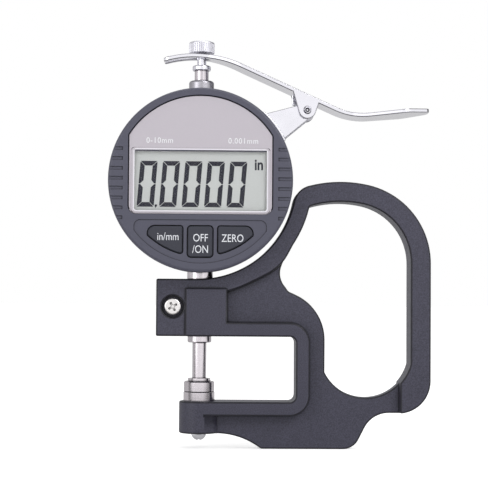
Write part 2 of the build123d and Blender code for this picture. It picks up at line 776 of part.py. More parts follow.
with BuildPart() as contact_point:
    with BuildSketch(Plane.XY):
        Circle(contact_d / 2)
    extrude(amount=contact_h)
    chamfer(contact_point.edges().group_by(Axis.Z)[-1], disc_chamfer)
    with BuildSketch(Plane.XY.offset(contact_h)):
        Circle(collar_d / 2)
    extrude(amount=collar_h)
    with BuildSketch(Plane.XY.offset(contact_h + collar_h)):
        Circle(contact_thread_d / 2)
    extrude(amount=contact_thread_len)
export(contact_point, "contact_point")

spindle_low = contact_h + collar_h
with BuildPart() as spindle:
    with BuildSketch(Plane.XY.offset(spindle_low)):
        Circle(spindle_d / 2)
    extrude(amount=spindle_top - spindle_low)
    with Locations((0, 0, spindle_top)):
        Hole(stud_thread_d / 2 + seat_clear, depth=stud_thread_len + seat_clear)
    with BuildSketch(Plane.XY.offset(spindle_low)):
        Circle(contact_thread_d / 2 + seat_clear)
    extrude(amount=contact_thread_len + seat_clear, mode=Mode.SUBTRACT)
export(spindle, "spindle")

with BuildPart() as lift_stud:
    with BuildSketch(Plane.XY.offset(spindle_top)):
        Circle(ring_d / 2)
    extrude(amount=ring_h)
    fillet(lift_stud.edges(), ring_edge_r)
    with BuildSketch(Plane.XY.offset(spindle_top - stud_thread_len)):
        Circle(stud_thread_d / 2)
    extrude(amount=stud_thread_len)
    with BuildSketch(Plane.XY.offset(ring_high)):
        Circle(neck_d / 2)
    extrude(amount=knob_low + knob_bore_depth - ring_high)
export(lift_stud, "lift_stud")

with BuildPart() as lift_knob:
    with BuildSketch(Plane.XY.offset(knob_low)):
        Circle(knob_d / 2)
    extrude(amount=knob_h)
    fillet(lift_knob.edges().group_by(Axis.Z)[-1], knob_edge_r)
    chamfer(lift_knob.edges().group_by(Axis.Z)[0], 0.25)
    with BuildSketch(Plane.XY.offset(knob_low)):
        with PolarLocations(knob_d / 2, knob_knurls):
            Rectangle(knob_knurl, knob_knurl, rotation=45)
    extrude(amount=knob_h - knob_edge_r, mode=Mode.SUBTRACT)
    with BuildSketch(Plane.XY.offset(knob_low)):
        Circle(neck_d / 2 + seat_clear)
    extrude(amount=knob_bore_depth + seat_clear, mode=Mode.SUBTRACT)
export(lift_knob, "lift_knob")

with BuildPart() as scale_carrier:
    with BuildSketch(plane_at(carrier_back)):
        with Locations((0, head_z)):
            RectangleRounded(carrier_w, carrier_h, 1.0)
    extrude(amount=carrier_back - carrier_front)
    with Locations((0, 0, head_z)):
        Cylinder(spindle_d / 2 + seat_clear, carrier_h, mode=Mode.SUBTRACT)
    with Locations(Location(plane_at(carrier_back)) * Location((0, head_z, 0))):
        Hole(guide_pin_d / 2 + seat_clear, depth=carrier_back - spindle_d / 2)
export(scale_carrier, "scale_carrier")

with BuildPart() as scale_strip:
    with BuildSketch(plane_at(carrier_front)):
        with Locations((0, head_z + scale_low)):
            Rectangle(scale_w, scale_len, align=(Align.CENTER, Align.MIN))
    extrude(amount=scale_t)
export(scale_strip, "scale_strip")

with BuildPart() as guide_pin:
    with BuildSketch(plane_at(rail_back)):
        with Locations((0, head_z)):
            Circle(guide_pin_d / 2)
    extrude(amount=rail_back - spindle_d / 2 - 2 * seat_clear)
export(guide_pin, "guide_pin")

spring_low = head_z + carrier_h / 2
spring_high = head_z + block_inner
with BuildPart() as spindle_spring:
    spring_r = spindle_d / 2 + spring_clear + spring_wire_d / 2
    coil_h = spring_high - spring_low - spring_wire_d
    with BuildLine():
        coil = Helix(
            coil_h / spring_turns, coil_h, spring_r, center=(0, 0, spring_low + spring_wire_d / 2)
        )
    with BuildSketch(Plane(origin=coil @ 0, z_dir=coil % 0)):
        RegularPolygon(spring_wire_d / 2 - seat_clear, wire_sides)
    sweep()
export(spindle_spring, "spindle_spring")

# Lever, bent from one strip with two ears


def blade_top(x):
    """Height of the lever's top face on its straight stretch."""
    start = Vector(crest_x, crest_z - crest_r) + direction(90 - blade_slope) * crest_r
    return start.Y - (x - start.X) * tan(radians(blade_slope))


pivot = head_centre + direction(pivot_angle) * (housing_r + pivot_reach)
pivot_hole_r = pivot_pin_d / 2 + run_clear
with BuildPart() as lever:
    with BuildSketch(Plane.XZ):
        with BuildLine():
            crest = CenterArc(
                (crest_x, crest_z - crest_r), crest_r, 90 + tail_slope, -(tail_slope + blade_slope)
            )
            dip_start_x = dip_x - dip_r * sin(radians(blade_slope))
            blade = Line(crest @ 1, (dip_start_x, blade_top(dip_start_x)))
            dip = JernArc(blade @ 1, blade % 1, dip_r, blade_slope + thumb_slope)
            Line(dip @ 1, dip @ 1 + (dip % 1) * ((lever_tip - (dip @ 1).X) / (dip % 1).X))
            offset(amount=lever_t, side=Side.RIGHT)
        make_face()
    extrude(amount=thumb_half_w, both=True)
    with BuildSketch(Plane.XY) as plan:
        with BuildLine():
            tail_x = (crest @ 0).X
            tail_end = tail_x + tail_len
            Polyline(
                (tail_x, 0),
                (tail_x, tail_half_w),
                (tail_end, tail_half_w),
                (tail_end + tail_flare, lever_half_w),
                (thumb_start, lever_half_w),
                (thumb_shoulder, thumb_half_w),
                (lever_tip, thumb_tip_w / 2),
                (lever_tip, 0),
            )
            mirror(about=Plane.XZ)
        make_face()
        for place, radius in (
            ((tail_end, tail_half_w), tail_flare_r),
            ((tail_end + tail_flare, lever_half_w), tail_flare_r),
            ((thumb_start, lever_half_w), thumb_flare_r),
            ((thumb_shoulder, thumb_half_w), thumb_shoulder_r),
            ((lever_tip, thumb_tip_w / 2), thumb_tip_r),
            ((tail_x, tail_half_w), tail_half_w / 2),
        ):
            for side in (1, -1):
                spot = (place[0], side * place[1])
                fillet(plan.vertices().sort_by_distance(spot)[0], radius)
        fork_w = neck_d + 2 * fork_clear
        with Locations((neck_d / 2 + fork_end, 0)):
            SlotOverall(2 * crest_r, fork_w, align=(Align.MAX, Align.CENTER), mode=Mode.SUBTRACT)
    extrude(amount=2 * head_z, mode=Mode.INTERSECT)
    for side in (1, -1):
        with BuildSketch(plane_at(side * lever_half_w)):
            with BuildLine():
                drop = lever_t / cos(radians(blade_slope))
                left, right = pivot.X - ear_left, pivot.X + ear_right
                Polyline(
                    (left, blade_top(left) - drop),
                    (left, blade_top(left)),
                    (right, blade_top(right)),
                    (right, blade_top(right) - drop),
                    close=True,
                )
            make_face()
            with Locations(pivot):
                Circle(ear_r)
            make_hull()
            with Locations(pivot):
                Circle(pivot_hole_r, mode=Mode.SUBTRACT)
        extrude(amount=side * ear_t)
export(lever, "lever")

# Bracket on the head, its screws, the pivot pin and the return spring

with BuildPart() as lever_bracket:
    foot_in_r = housing_r + foot_clear
    foot_out_r = foot_in_r + bracket_foot_t
    low, high = bracket_low_angle, bracket_high_angle
    with BuildSketch(Plane.XZ) as cheek:
        with BuildLine():
            Polyline(
                head_centre + direction(low) * foot_out_r,
                head_centre + direction(high) * foot_out_r,
                pivot,
                close=True,
            )
        make_face()
        with Locations(pivot):
            Circle(bracket_end_r)
        make_hull()
        with Locations(pivot):
            Circle(pivot_pin_d / 2 + seat_clear, mode=Mode.SUBTRACT)
        with Locations(head_centre):
            Circle(foot_in_r, mode=Mode.SUBTRACT)
    extrude(amount=bracket_w / 2, both=True)
    with BuildSketch(Plane.XZ):
        add(cheek.sketch_local)
        with Locations(head_centre):
            Circle(foot_out_r, mode=Mode.SUBTRACT)
    extrude(amount=bracket_w / 2 - bracket_t, both=True, mode=Mode.SUBTRACT)
    with BuildSketch(Plane.XZ):
        with BuildLine():
            lap = bracket_foot_lap
            outer_arc = CenterArc(head_centre, foot_out_r, low - lap, high - low + 2 * lap)
            inner_arc = CenterArc(head_centre, foot_in_r, low - lap, high - low + 2 * lap)
            Line(outer_arc @ 0, inner_arc @ 0)
            Line(outer_arc @ 1, inner_arc @ 1)
        make_face()
    extrude(amount=bracket_foot_w / 2, both=True)
    for angle in bracket_screw_angles:
        with Locations(Plane(origin=(0, 0, head_z), z_dir=(cos(radians(angle)), 0, sin(radians(angle))))):
            Cylinder(
                bracket_screw_d / 2 + seat_clear,
                foot_out_r,
                align=(Align.CENTER, Align.CENTER, Align.MIN),
                mode=Mode.SUBTRACT,
            )
export(lever_bracket, "lever_bracket")

with BuildPart() as bracket_screws:
    for angle in bracket_screw_angles:
        out = Vector(cos(radians(angle)), 0, sin(radians(angle)))
        with Locations(Plane(origin=Vector(0, 0, head_z) + out * foot_out_r, z_dir=out)):
            Cylinder(
                bracket_screw_head_d / 2,
                bracket_screw_head_h,
                align=(Align.CENTER, Align.CENTER, Align.MIN),
            )
            Cylinder(
                bracket_screw_d / 2,
                foot_out_r - inner_r,
                align=(Align.CENTER, Align.CENTER, Align.MAX),
            )
export(bracket_screws, "bracket_screws")

with BuildPart() as lever_pin:
    pin_half_len = lever_half_w + pin_proud
    with BuildSketch(Plane.XZ):
        with Locations(pivot):
            Circle(pivot_pin_d / 2)
    extrude(amount=pin_half_len, both=True)
    chamfer(lever_pin.edges().filter_by(GeomType.CIRCLE), 0.15)
    for side in (1, -1):
        with BuildSketch(plane_at(side * pin_half_len)):
            with Locations(pivot):
                Circle(pin_dimple_d / 2)
        extrude(amount=side * pin_dimple_depth, mode=Mode.SUBTRACT)
export(lever_pin, "lever_pin")


def rod(start, end, diameter):
    """Straight wire with round ends, from one point to another."""
    way = end - start
    with Locations(Plane(origin=start, z_dir=way)):
        Cylinder(diameter / 2, way.length, align=(Align.CENTER, Align.CENTER, Align.MIN))
    with Locations(start, end):
        Sphere(diameter / 2)


with BuildPart() as lever_spring:
    wire_r = lever_spring_wire_d / 2
    coil_r = pivot_pin_d / 2 + 2 * wire_r
    coil_half = bracket_w / 2 - bracket_t - 2 * wire_r
    start_angle = pivot_angle + 270
    end_angle = lever_leg_angle - 90
    turns = lever_spring_turns + (end_angle - start_angle) % 360 / 360
    start_out = direction(start_angle)
    coil_plane = Plane(
        origin=(pivot.X, coil_half, pivot.Y),
        x_dir=(start_out.X, 0, start_out.Y),
        z_dir=(0, -1, 0),
    )
    with BuildLine():
        coil = coil_plane * Helix(2 * coil_half / turns, 2 * coil_half, coil_r, mode=Mode.PRIVATE)
        add(coil)
    with BuildSketch(Plane(origin=coil @ 0, z_dir=coil % 0)):
        RegularPolygon(wire_r, wire_sides)
    sweep()
    inward = direction(pivot_angle + 180)
    bracket_leg_len = housing_r + pivot_reach - foot_out_r - 2 * wire_r - foot_clear
    rod(coil @ 0, coil @ 0 + Vector(inward.X, 0, inward.Y) * bracket_leg_len, 2 * wire_r)
    leg_way = direction(lever_leg_angle)
    leg_end = coil @ 1 + Vector(leg_way.X, 0, leg_way.Y) * lever_leg_len
    under_lever = blade_top(leg_end.X) - lever_t / cos(radians(blade_slope)) - 2 * wire_r - foot_clear
    rod(coil @ 1, leg_end, 2 * wire_r)
    rod(leg_end, Vector(leg_end.X, leg_end.Y, under_lever), 2 * wire_r)
export(lever_spring, "lever_spring")
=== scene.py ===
"""Looks of the digital thickness gauge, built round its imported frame.

Metres, +Z up along the spindle, -Y towards the display, origin on the anvil's face.
"""

import json
import logging
import math
from collections.abc import Callable, Iterable
from dataclasses import dataclass
from enum import Enum

import bmesh
import bpy
from bmesh.types import BMesh, BMVert
from bpy.types import ID, Material, Node, NodeOutputs, NodeSocket, NodeTree, Object
from mathutils import Matrix, Vector

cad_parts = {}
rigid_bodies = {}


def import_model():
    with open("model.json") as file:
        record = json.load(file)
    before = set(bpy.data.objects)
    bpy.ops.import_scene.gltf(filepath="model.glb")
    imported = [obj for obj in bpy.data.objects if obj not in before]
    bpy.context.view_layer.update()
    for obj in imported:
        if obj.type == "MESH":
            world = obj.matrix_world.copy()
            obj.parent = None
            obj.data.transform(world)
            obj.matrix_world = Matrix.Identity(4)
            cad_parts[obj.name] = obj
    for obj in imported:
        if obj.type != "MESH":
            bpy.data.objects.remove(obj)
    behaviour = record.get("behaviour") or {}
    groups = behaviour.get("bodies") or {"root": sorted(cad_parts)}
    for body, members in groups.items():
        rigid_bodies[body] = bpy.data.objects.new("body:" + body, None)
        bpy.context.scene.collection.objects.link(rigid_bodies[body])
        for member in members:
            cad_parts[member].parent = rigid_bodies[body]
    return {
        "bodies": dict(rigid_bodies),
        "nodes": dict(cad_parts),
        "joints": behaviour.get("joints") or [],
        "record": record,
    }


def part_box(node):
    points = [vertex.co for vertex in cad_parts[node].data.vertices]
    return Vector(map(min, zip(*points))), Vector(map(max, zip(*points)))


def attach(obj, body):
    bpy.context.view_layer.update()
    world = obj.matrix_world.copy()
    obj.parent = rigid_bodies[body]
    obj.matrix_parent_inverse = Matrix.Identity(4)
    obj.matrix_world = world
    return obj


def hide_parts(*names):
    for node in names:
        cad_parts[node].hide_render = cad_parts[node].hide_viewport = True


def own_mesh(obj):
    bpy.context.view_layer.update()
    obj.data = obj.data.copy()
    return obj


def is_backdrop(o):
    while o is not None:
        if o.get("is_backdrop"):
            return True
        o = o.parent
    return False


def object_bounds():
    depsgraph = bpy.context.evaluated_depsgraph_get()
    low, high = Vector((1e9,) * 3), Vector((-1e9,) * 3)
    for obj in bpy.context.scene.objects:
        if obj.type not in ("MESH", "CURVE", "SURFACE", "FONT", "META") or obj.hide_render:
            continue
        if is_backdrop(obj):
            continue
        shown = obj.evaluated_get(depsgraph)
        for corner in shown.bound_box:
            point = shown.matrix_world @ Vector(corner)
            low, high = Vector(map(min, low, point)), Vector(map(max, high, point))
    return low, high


MM = 0.001
WELD = 0.002 * MM
IMAGE_SIDE = 488
RIM_MARK = "rim"
WHITE = (1.0, 1.0, 1.0, 1.0)
BLACK = (0.0, 0.0, 0.0, 1.0)

Shade = tuple[int, int, int]
Colour = tuple[float, float, float, float]
Pair = tuple[float, float]
Outline = Iterable[Pair]

log = logging.getLogger("thickness_gauge")


def linear(shade: Shade) -> Colour:
    """Turn a screen colour into the linear one that a shader takes.

    Args:
        shade: Red, green and blue from 0 to 255.

    Returns:
        Linear red, green and blue with a full alpha.
    """
    parts = [part / 255 for part in shade]
    curve = [p / 12.92 if p <= 0.04045 else ((p + 0.055) / 1.055) ** 2.4 for p in parts]
    return (*curve, 1.0)


def tinted(colour: Colour, level: float) -> Colour:
    """Give a darker or paler tone of a linear colour.

    Args:
        colour: The colour.
        level: What its red, green and blue are multiplied by.

    Returns:
        The tone, with no part over 1.
    """
    return (*(min(1.0, level * part) for part in colour[:3]), 1.0)


class Tree:
    """Short calls for laying out one node tree."""

    def __init__(self, tree: NodeTree) -> None:
        """Keep the tree that nodes are added to."""
        self.tree = tree

    def add(self, kind: str, **settings: object) -> Node:
        """Add a node.

        Args:
            kind: The node's type name.
            settings: Its properties, by name.

        Returns:
            The new node.
        """
        node = self.tree.nodes.new(kind)
        for name, value in settings.items():
            setattr(node, name, value)
        return node

    def put(self, socket: NodeSocket, value: object) -> None:
        """Link an output socket to an input, or set the input to a plain value.

        Args:
            socket: The input.
            value: The output socket or the plain value.
        """
        if isinstance(value, NodeSocket):
            self.tree.links.new(value, socket)
        else:
            socket.default_value = value

    def feed(self, node: Node, **inputs: object) -> Node:
        """Set or link a node's inputs.

        Args:
            node: The node to feed.
            inputs: A value or an output socket for each input, with _ for a space.

        Returns:
            The same node.
        """
        for name, value in inputs.items():
            self.put(node.inputs[name.replace("_", " ")], value)
        return node

    def group(self, tree: NodeTree, **inputs: object) -> NodeOutputs:
        """Place a shader node group.

        Args:
            tree: The group's tree.
            inputs: Its inputs, as feed takes them.

        Returns:
            Its outputs, by name.
        """
        return self.feed(self.add("ShaderNodeGroup", node_tree=tree), **inputs).outputs

    def maths(self, operation: str, *terms: object) -> NodeSocket:
        """Work out one step of arithmetic.

        Args:
            operation: The Math node's operation.
            terms: Its numbers or output sockets, in order.

        Returns:
            The result's socket.
        """
        node = self.add("ShaderNodeMath", operation=operation)
        for socket, term in zip(node.inputs, terms):
            self.put(socket, term)
        return node.outputs[0]

    def spread(
        self, value: NodeSocket, low: float, high: float, start: float = 0.0, stop: float = 1.0
    ) -> NodeSocket:
        """Map a range of a value onto another range.

        Args:
            value: The socket to map.
            low: What the range's start becomes.
            high: What the range's stop becomes.
            start: Where the range starts.
            stop: Where the range stops.

        Returns:
            The mapped socket.
        """
        node = self.add("ShaderNodeMapRange")
        self.feed(node, Value=value, From_Min=start, From_Max=stop, To_Min=low, To_Max=high)
        return node.outputs["Result"]

    def ramp(self, value: NodeSocket, stops: Outline) -> NodeSocket:
        """Give a level that follows straight lines between stops.

        Args:
            value: The socket to follow.
            stops: Each place on the value's range and the level there, in order.

        Returns:
            The level's socket.
        """
        stops = list(stops)
        low, high = stops[0][0], stops[-1][0]
        node = self.add("ShaderNodeValToRGB")
        self.feed(node, Fac=self.spread(value, 0.0, 1.0, low, high))
        marks = node.color_ramp.elements
        while len(marks) < len(stops):
            marks.new(0.5)
        for mark, (place, level) in zip(marks, stops):
            mark.position = (place - low) / (high - low)
            mark.color = (level, level, level, 1.0)
        return node.outputs["Color"]

    def blend(self, share: object, first: object, second: object) -> NodeSocket:
        """Mix two colours.

        Args:
            share: How much of the second, from 0 to 1.
            first: The colour at 0.
            second: The colour at 1.

        Returns:
            The mixed colour's socket.
        """
        node = self.add("ShaderNodeMix", data_type="RGBA")
        # The node keeps sockets of one name for every data type: these are the colours'
        for index, value in ((0, share), (6, first), (7, second)):
            self.put(node.inputs[index], value)
        return node.outputs[2]


class Effects:
    """Shader effects that several materials share, each built once as a node group."""

    def __init__(self) -> None:
        """Build the groups."""
        self.grain = self._grain()
        self.edge = self._edge()
        self.crease = self._crease("crease_mask", True)
        self.joint = self._crease("joint_mask", False)
        self.rim = self._rim()
        self.lay = self._lay()
        self.clouds = self._clouds()

    @staticmethod
    def _group(
        name: str, inputs: dict[str, float], outputs: Iterable[str]
    ) -> tuple[Tree, NodeOutputs, Node]:
        """Start a group with number inputs and outputs.

        Args:
            name: The group's name.
            inputs: Each number input and what it starts at.
            outputs: The number outputs.

        Returns:
            The tree, what its inputs give and its output node.
        """
        tree = bpy.data.node_groups.new(name, "ShaderNodeTree")
        for label, start in inputs.items():
            socket = tree.interface.new_socket(label, in_out="INPUT", socket_type="NodeSocketFloat")
            socket.default_value = start
        for label in outputs:
            tree.interface.new_socket(label, in_out="OUTPUT", socket_type="NodeSocketFloat")
        sketch = Tree(tree)
        return sketch, sketch.add("NodeGroupInput").outputs, sketch.add("NodeGroupOutput")

    def _grain(self) -> NodeTree:
        """Build the fine grain of sprayed enamel or moulded plastic, and its larger flecks.

        Returns:
            The group, which takes the size of a grain.
        """
        t, given, result = self._group("fine_grain", {"Size": 0.3 * MM}, ("Height", "Fleck"))
        place = t.add("ShaderNodeTexCoord").outputs["Object"]
        scale = t.maths("DIVIDE", 1.0, given["Size"])
        wide = t.maths("DIVIDE", scale, 5.0)
        fine = t.feed(t.add("ShaderNodeTexNoise"), Vector=place, Scale=scale, Detail=3.0, Roughness=0.6)
        coarse = t.feed(t.add("ShaderNodeTexNoise"), Vector=place, Scale=wide, Detail=2.0)
        t.feed(result, Height=fine.outputs["Fac"], Fleck=coarse.outputs["Fac"])
        return t.tree

    def _edge(self) -> NodeTree:
        """Build the mask of outer edges, from how far a rounded normal turns away.

        Returns:
            The group, which takes the width of an edge.
        """
        t, given, result = self._group("edge_mask", {"Width": 0.4 * MM}, ("Mask",))
        rounded = t.feed(t.add("ShaderNodeBevel", samples=6), Radius=given["Width"])
        turn = t.add("ShaderNodeVectorMath", operation="DOT_PRODUCT")
        t.put(turn.inputs[0], rounded.outputs["Normal"])
        t.put(turn.inputs[1], t.add("ShaderNodeNewGeometry").outputs["Normal"])
        away = t.maths("SUBTRACT", 1.0, turn.outputs["Value"])
        t.feed(result, Mask=t.maths("MINIMUM", t.maths("MULTIPLY", away, 4.0), 1.0))
        return t.tree

    def _crease(self, name: str, own: bool) -> NodeTree:
        """Build the mask of narrow corners, 1 in their foot and 0 in the open.

        Args:
            name: The group's name.
            own: Whether only the piece's own corners count, not its joints with others.

        Returns:
            The group, which takes how far a corner reaches.
        """
        t, given, result = self._group(name, {"Reach": 1 * MM}, ("Mask",))
        # Ambient occlusion: where the painted shade of corners and joints goes
        nook = t.add("ShaderNodeAmbientOcclusion", samples=12, only_local=own)
        t.feed(nook, Distance=given["Reach"])
        t.feed(result, Mask=t.spread(nook.outputs["AO"], 1.0, 0.0, 0.55, 0.87))
        return t.tree

    def _rim(self) -> NodeTree:
        """Build the mask of the rims that SubAssembly.soften rounds.

        Returns:
            The group.
        """
        t, _, result = self._group("rim_mask", {}, ("Mask",))
        mark = t.add("ShaderNodeAttribute", attribute_name=RIM_MARK)
        t.feed(result, Mask=mark.outputs["Fac"])
        return t.tree

    def _lay(self) -> NodeTree:
        """Build the fine lines that turning, grinding or drawing leaves.

        Returns:
            The group, which takes how close the lines stand along X, Y and Z.
        """
        t, given, result = self._group("tool_lines", dict.fromkeys("XYZ", 1.0), ("Height", "Shade"))
        join = t.add("ShaderNodeCombineXYZ")
        for axis in "XYZ":
            t.put(join.inputs[axis], given[axis])
        way = t.add("ShaderNodeVectorMath", operation="MULTIPLY")
        t.put(way.inputs[0], t.add("ShaderNodeTexCoord").outputs["Object"])
        t.put(way.inputs[1], join.outputs[0])
        lines = t.feed(t.add("ShaderNodeTexNoise"), Vector=way.outputs[0], Scale=1.0, Detail=4.0)
        t.feed(result, Height=lines.outputs["Fac"], Shade=lines.outputs["Fac"])
        return t.tree

    def _clouds(self) -> NodeTree:
        """Build the slow change over a surface that handling and polishing leave.

        Returns:
            The group, which takes the size of a cloud.
        """
        t, given, result = self._group("handled_clouds", {"Size": 10 * MM}, ("Amount",))
        place = t.add("ShaderNodeTexCoord").outputs["Object"]
        scale = t.maths("DIVIDE", 1.0, given["Size"])
        noise = t.add("ShaderNodeTexNoise")
        t.feed(noise, Vector=place, Scale=scale, Detail=4.0, Roughness=0.65)
        t.feed(result, Amount=noise.outputs["Fac"])
        return t.tree


class MaterialTree(Tree):
    """The node tree of one material."""

    def __init__(self, name: str, effects: Effects | None = None) -> None:
        """Start a material.

        Args:
            name: Its name.
            effects: The shared node groups, where it uses them.
        """
        self.effects = effects
        self.material = bpy.data.materials.new(name)
        self.material.use_nodes = True
        super().__init__(self.material.node_tree)
        self.skin = self.tree.nodes["Principled BSDF"]

    def cover(
        self, colour: NodeSocket, rough: NodeSocket, height: NodeSocket, relief: float, depth: float,
        **plain: float,
    ) -> None:
        """Feed the shader.

        Args:
            colour: The base colour.
            rough: The roughness.
            height: The height of the surface's fine relief.
            relief: How strong the relief is.
            depth: How deep it is.
            plain: What is the same all over the surface, by the shader's input.
        """
        bump = self.feed(self.add("ShaderNodeBump"), Height=height, Strength=relief, Distance=depth)
        self.feed(self.skin, Base_Color=colour, Roughness=rough, Normal=bump.outputs["Normal"], **plain)


class Lay(Enum):
    """Which way the lines of a metal surface run, as how close they stand along X, Y and Z."""

    NONE = (0.0, 0.0, 0.0)
    TURNED = (300.0, 300.0, 16000.0)
    DRAWN = (500.0, 14000.0, 500.0)
    GROUND = (9000.0, 9000.0, 500.0)


@dataclass(frozen=True)
class Enamel:
    """Sprayed coating on the cast frame: pebbled grain, painted shade in creases and on rounded rims,
    paler edges of wear and painted highlight.
    """

    shade: Shade
    # A paler colour for the outer edges, partly wear and partly painted highlight
    edge_shade: Shade
    # Painted shade: the colour that creases and rounded rims darken towards
    crease_shade: Shade
    crease_reach: float = 0.85 * MM
    edge_width: float = 0.5 * MM
    edge_wear_and_highlight: float = 0.3
    # How far the rounded rims darken towards crease_shade: painted shade
    rim: float = 0.7
    roughness: float = 0.42
    rough_change: Pair = (-0.06, 0.08)
    grain: float = 0.3 * MM
    depth: float = 0.04 * MM
    relief: float = 0.35
    shine: float = 0.35
    mottle: Pair = (0.55, 1.3)
    speck_share: float = 0.7
    speck_range: Pair = (0.35, 0.65)
    cloud: float = 14 * MM
    cloud_share: float = 0.3

    def dress(self, t: MaterialTree) -> None:
        """Feed the shader.

        Args:
            t: The material's tree.
        """
        grain = t.group(t.effects.grain, Size=self.grain)
        clouds = t.group(t.effects.clouds, Size=self.cloud)
        edge = t.group(t.effects.edge, Width=self.edge_width)
        crease = t.group(t.effects.crease, Reach=self.crease_reach)
        dark, pale = (tinted(linear(self.shade), level) for level in self.mottle)
        speck = t.spread(grain["Height"], 0.0, self.speck_share, *self.speck_range)
        body = t.blend(t.maths("MULTIPLY_ADD", clouds["Amount"], self.cloud_share, speck), dark, pale)
        # Paler outer edges: partly wear, partly painted highlight
        worn_and_highlit = t.blend(t.maths("MULTIPLY", edge["Mask"], self.edge_wear_and_highlight), body, linear(self.edge_shade))
        # Painted shade in the creases and on the rounded rims
        painted_shade = linear(self.crease_shade)
        rim = t.maths("MULTIPLY", t.group(t.effects.rim)["Mask"], self.rim)
        colour = t.blend(crease["Mask"], t.blend(rim, worn_and_highlit, painted_shade), painted_shade)
        rough = t.spread(grain["Fleck"], *(self.roughness + change for change in self.rough_change))
        t.cover(colour, rough, grain["Height"], self.relief, self.depth, Specular_IOR_Level=self.shine)


@dataclass(frozen=True)
class Moulding:
    """Moulded plastic or rubber with a fine grain, paler edges of wear and painted highlight, and
    painted shade in corners and joints.
    """

    shade: Shade
    roughness: float = 0.4
    rough_change: Pair = (-0.05, 0.07)
    grain: float = 0.2 * MM
    depth: float = 0.012 * MM
    relief: float = 0.3
    shine: float = 0.35
    # Paler outer edges, partly wear and partly painted highlight
    edge_width: float = 0.25 * MM
    edge_wear_and_highlight: float = 0.35
    edge_level: float = 1.5
    # Painted shade in corners and in joints with other pieces: how far it reaches and how dark it is
    joint: float = 0.6 * MM
    joint_level: float = 0.15
    cloud: float = 9 * MM
    cloud_level: float = 0.92

    def dress(self, t: MaterialTree) -> None:
        """Feed the shader.

        Args:
            t: The material's tree.
        """
        grain = t.group(t.effects.grain, Size=self.grain)
        clouds = t.group(t.effects.clouds, Size=self.cloud)
        edge = t.group(t.effects.edge, Width=self.edge_width)
        joint = t.group(t.effects.joint, Reach=self.joint)
        base = linear(self.shade)
        body = t.blend(clouds["Amount"], tinted(base, self.cloud_level), base)
        # Paler outer edges: partly wear, partly painted highlight
        wear_and_highlight = t.maths("MULTIPLY", edge["Mask"], self.edge_wear_and_highlight)
        worn_and_highlit = t.blend(wear_and_highlight, body, tinted(base, self.edge_level))
        # Painted shade in corners and joints
        colour = t.blend(joint["Mask"], worn_and_highlit, tinted(base, self.joint_level))
        rough = t.spread(clouds["Amount"], *(self.roughness + change for change in self.rough_change))
        t.cover(colour, rough, grain["Height"], self.relief, self.depth, Specular_IOR_Level=self.shine)


@dataclass(frozen=True)
class Metal:
    """Bare or plated metal with the lines of its making, and painted shade in its corners and on its
    rounded rims.
    """

    shade: Shade
    roughness: float = 0.22
    lay: Lay = Lay.NONE
    depth: float = 0.004 * MM
    variation: float = 0.05
    # Painted shade in corners: how far it reaches and how dark it is
    nook: float = 0.5 * MM
    nook_level: float = 0.1
    # How much darker the rounded rims are: painted shade
    rim: float = 0.0
    joints: bool = False  # Whether the painted shade also falls in its joints with other pieces
    rough_share: Pair = (0.8, 1.25)
    relief: float = 0.25
    cloud: float = 6 * MM
    contrast: float = 3.0

    def dress(self, t: MaterialTree) -> None:
        """Feed the shader.

        Args:
            t: The material's tree.
        """
        lines = t.group(t.effects.lay, **dict(zip("XYZ", self.lay.value)))
        clouds = t.group(t.effects.clouds, Size=self.cloud)
        crease = t.group(t.effects.joint if self.joints else t.effects.crease, Reach=self.nook)
        base = linear(self.shade)
        tone = t.maths("MULTIPLY", lines["Shade"], clouds["Amount"])
        share = t.maths("MULTIPLY", tone, self.contrast)
        clean = t.blend(share, tinted(base, 1 - 2 * self.variation), base)
        # Painted shade on the rounded rims
        if self.rim:
            clean = t.blend(t.group(t.effects.rim)["Mask"], clean, tinted(base, 1 - self.rim))
        # Painted shade in corners
        colour = t.blend(crease["Mask"], clean, tinted(base, self.nook_level))
        rough = t.spread(clouds["Amount"], *(self.roughness * share for share in self.rough_share))
        t.cover(colour, rough, lines["Height"], self.relief, self.depth, Metallic=1.0)


@dataclass(frozen=True)
class Print:
    """Flat printed or liquid-crystal colour with a slight change of tone."""

    shade: Shade
    roughness: float = 0.5
    variation: float = 0.04
    shine: float = 0.5
    # Painted shade near joints with other pieces: how far it reaches, none at 0, and how dark it is
    joint: float = 0.0
    joint_level: float = 0.1
    rough_change: Pair = (-0.04, 0.04)
    grain: float = 0.12 * MM
    depth: float = 0.004 * MM
    relief: float = 0.1

    def dress(self, t: MaterialTree) -> None:
        """Feed the shader.

        Args:
            t: The material's tree.
        """
        grain = t.group(t.effects.grain, Size=self.grain)
        base = linear(self.shade)
        colour = t.blend(grain["Fleck"], tinted(base, 1 - self.variation), base)
        # Painted shade near joints with other pieces
        if self.joint:
            joint = t.group(t.effects.joint, Reach=self.joint)
            colour = t.blend(joint["Mask"], colour, tinted(base, self.joint_level))
        rough = t.spread(grain["Fleck"], *(self.roughness + change for change in self.rough_change))
        t.cover(colour, rough, grain["Height"], self.relief, self.depth, Specular_IOR_Level=self.shine)


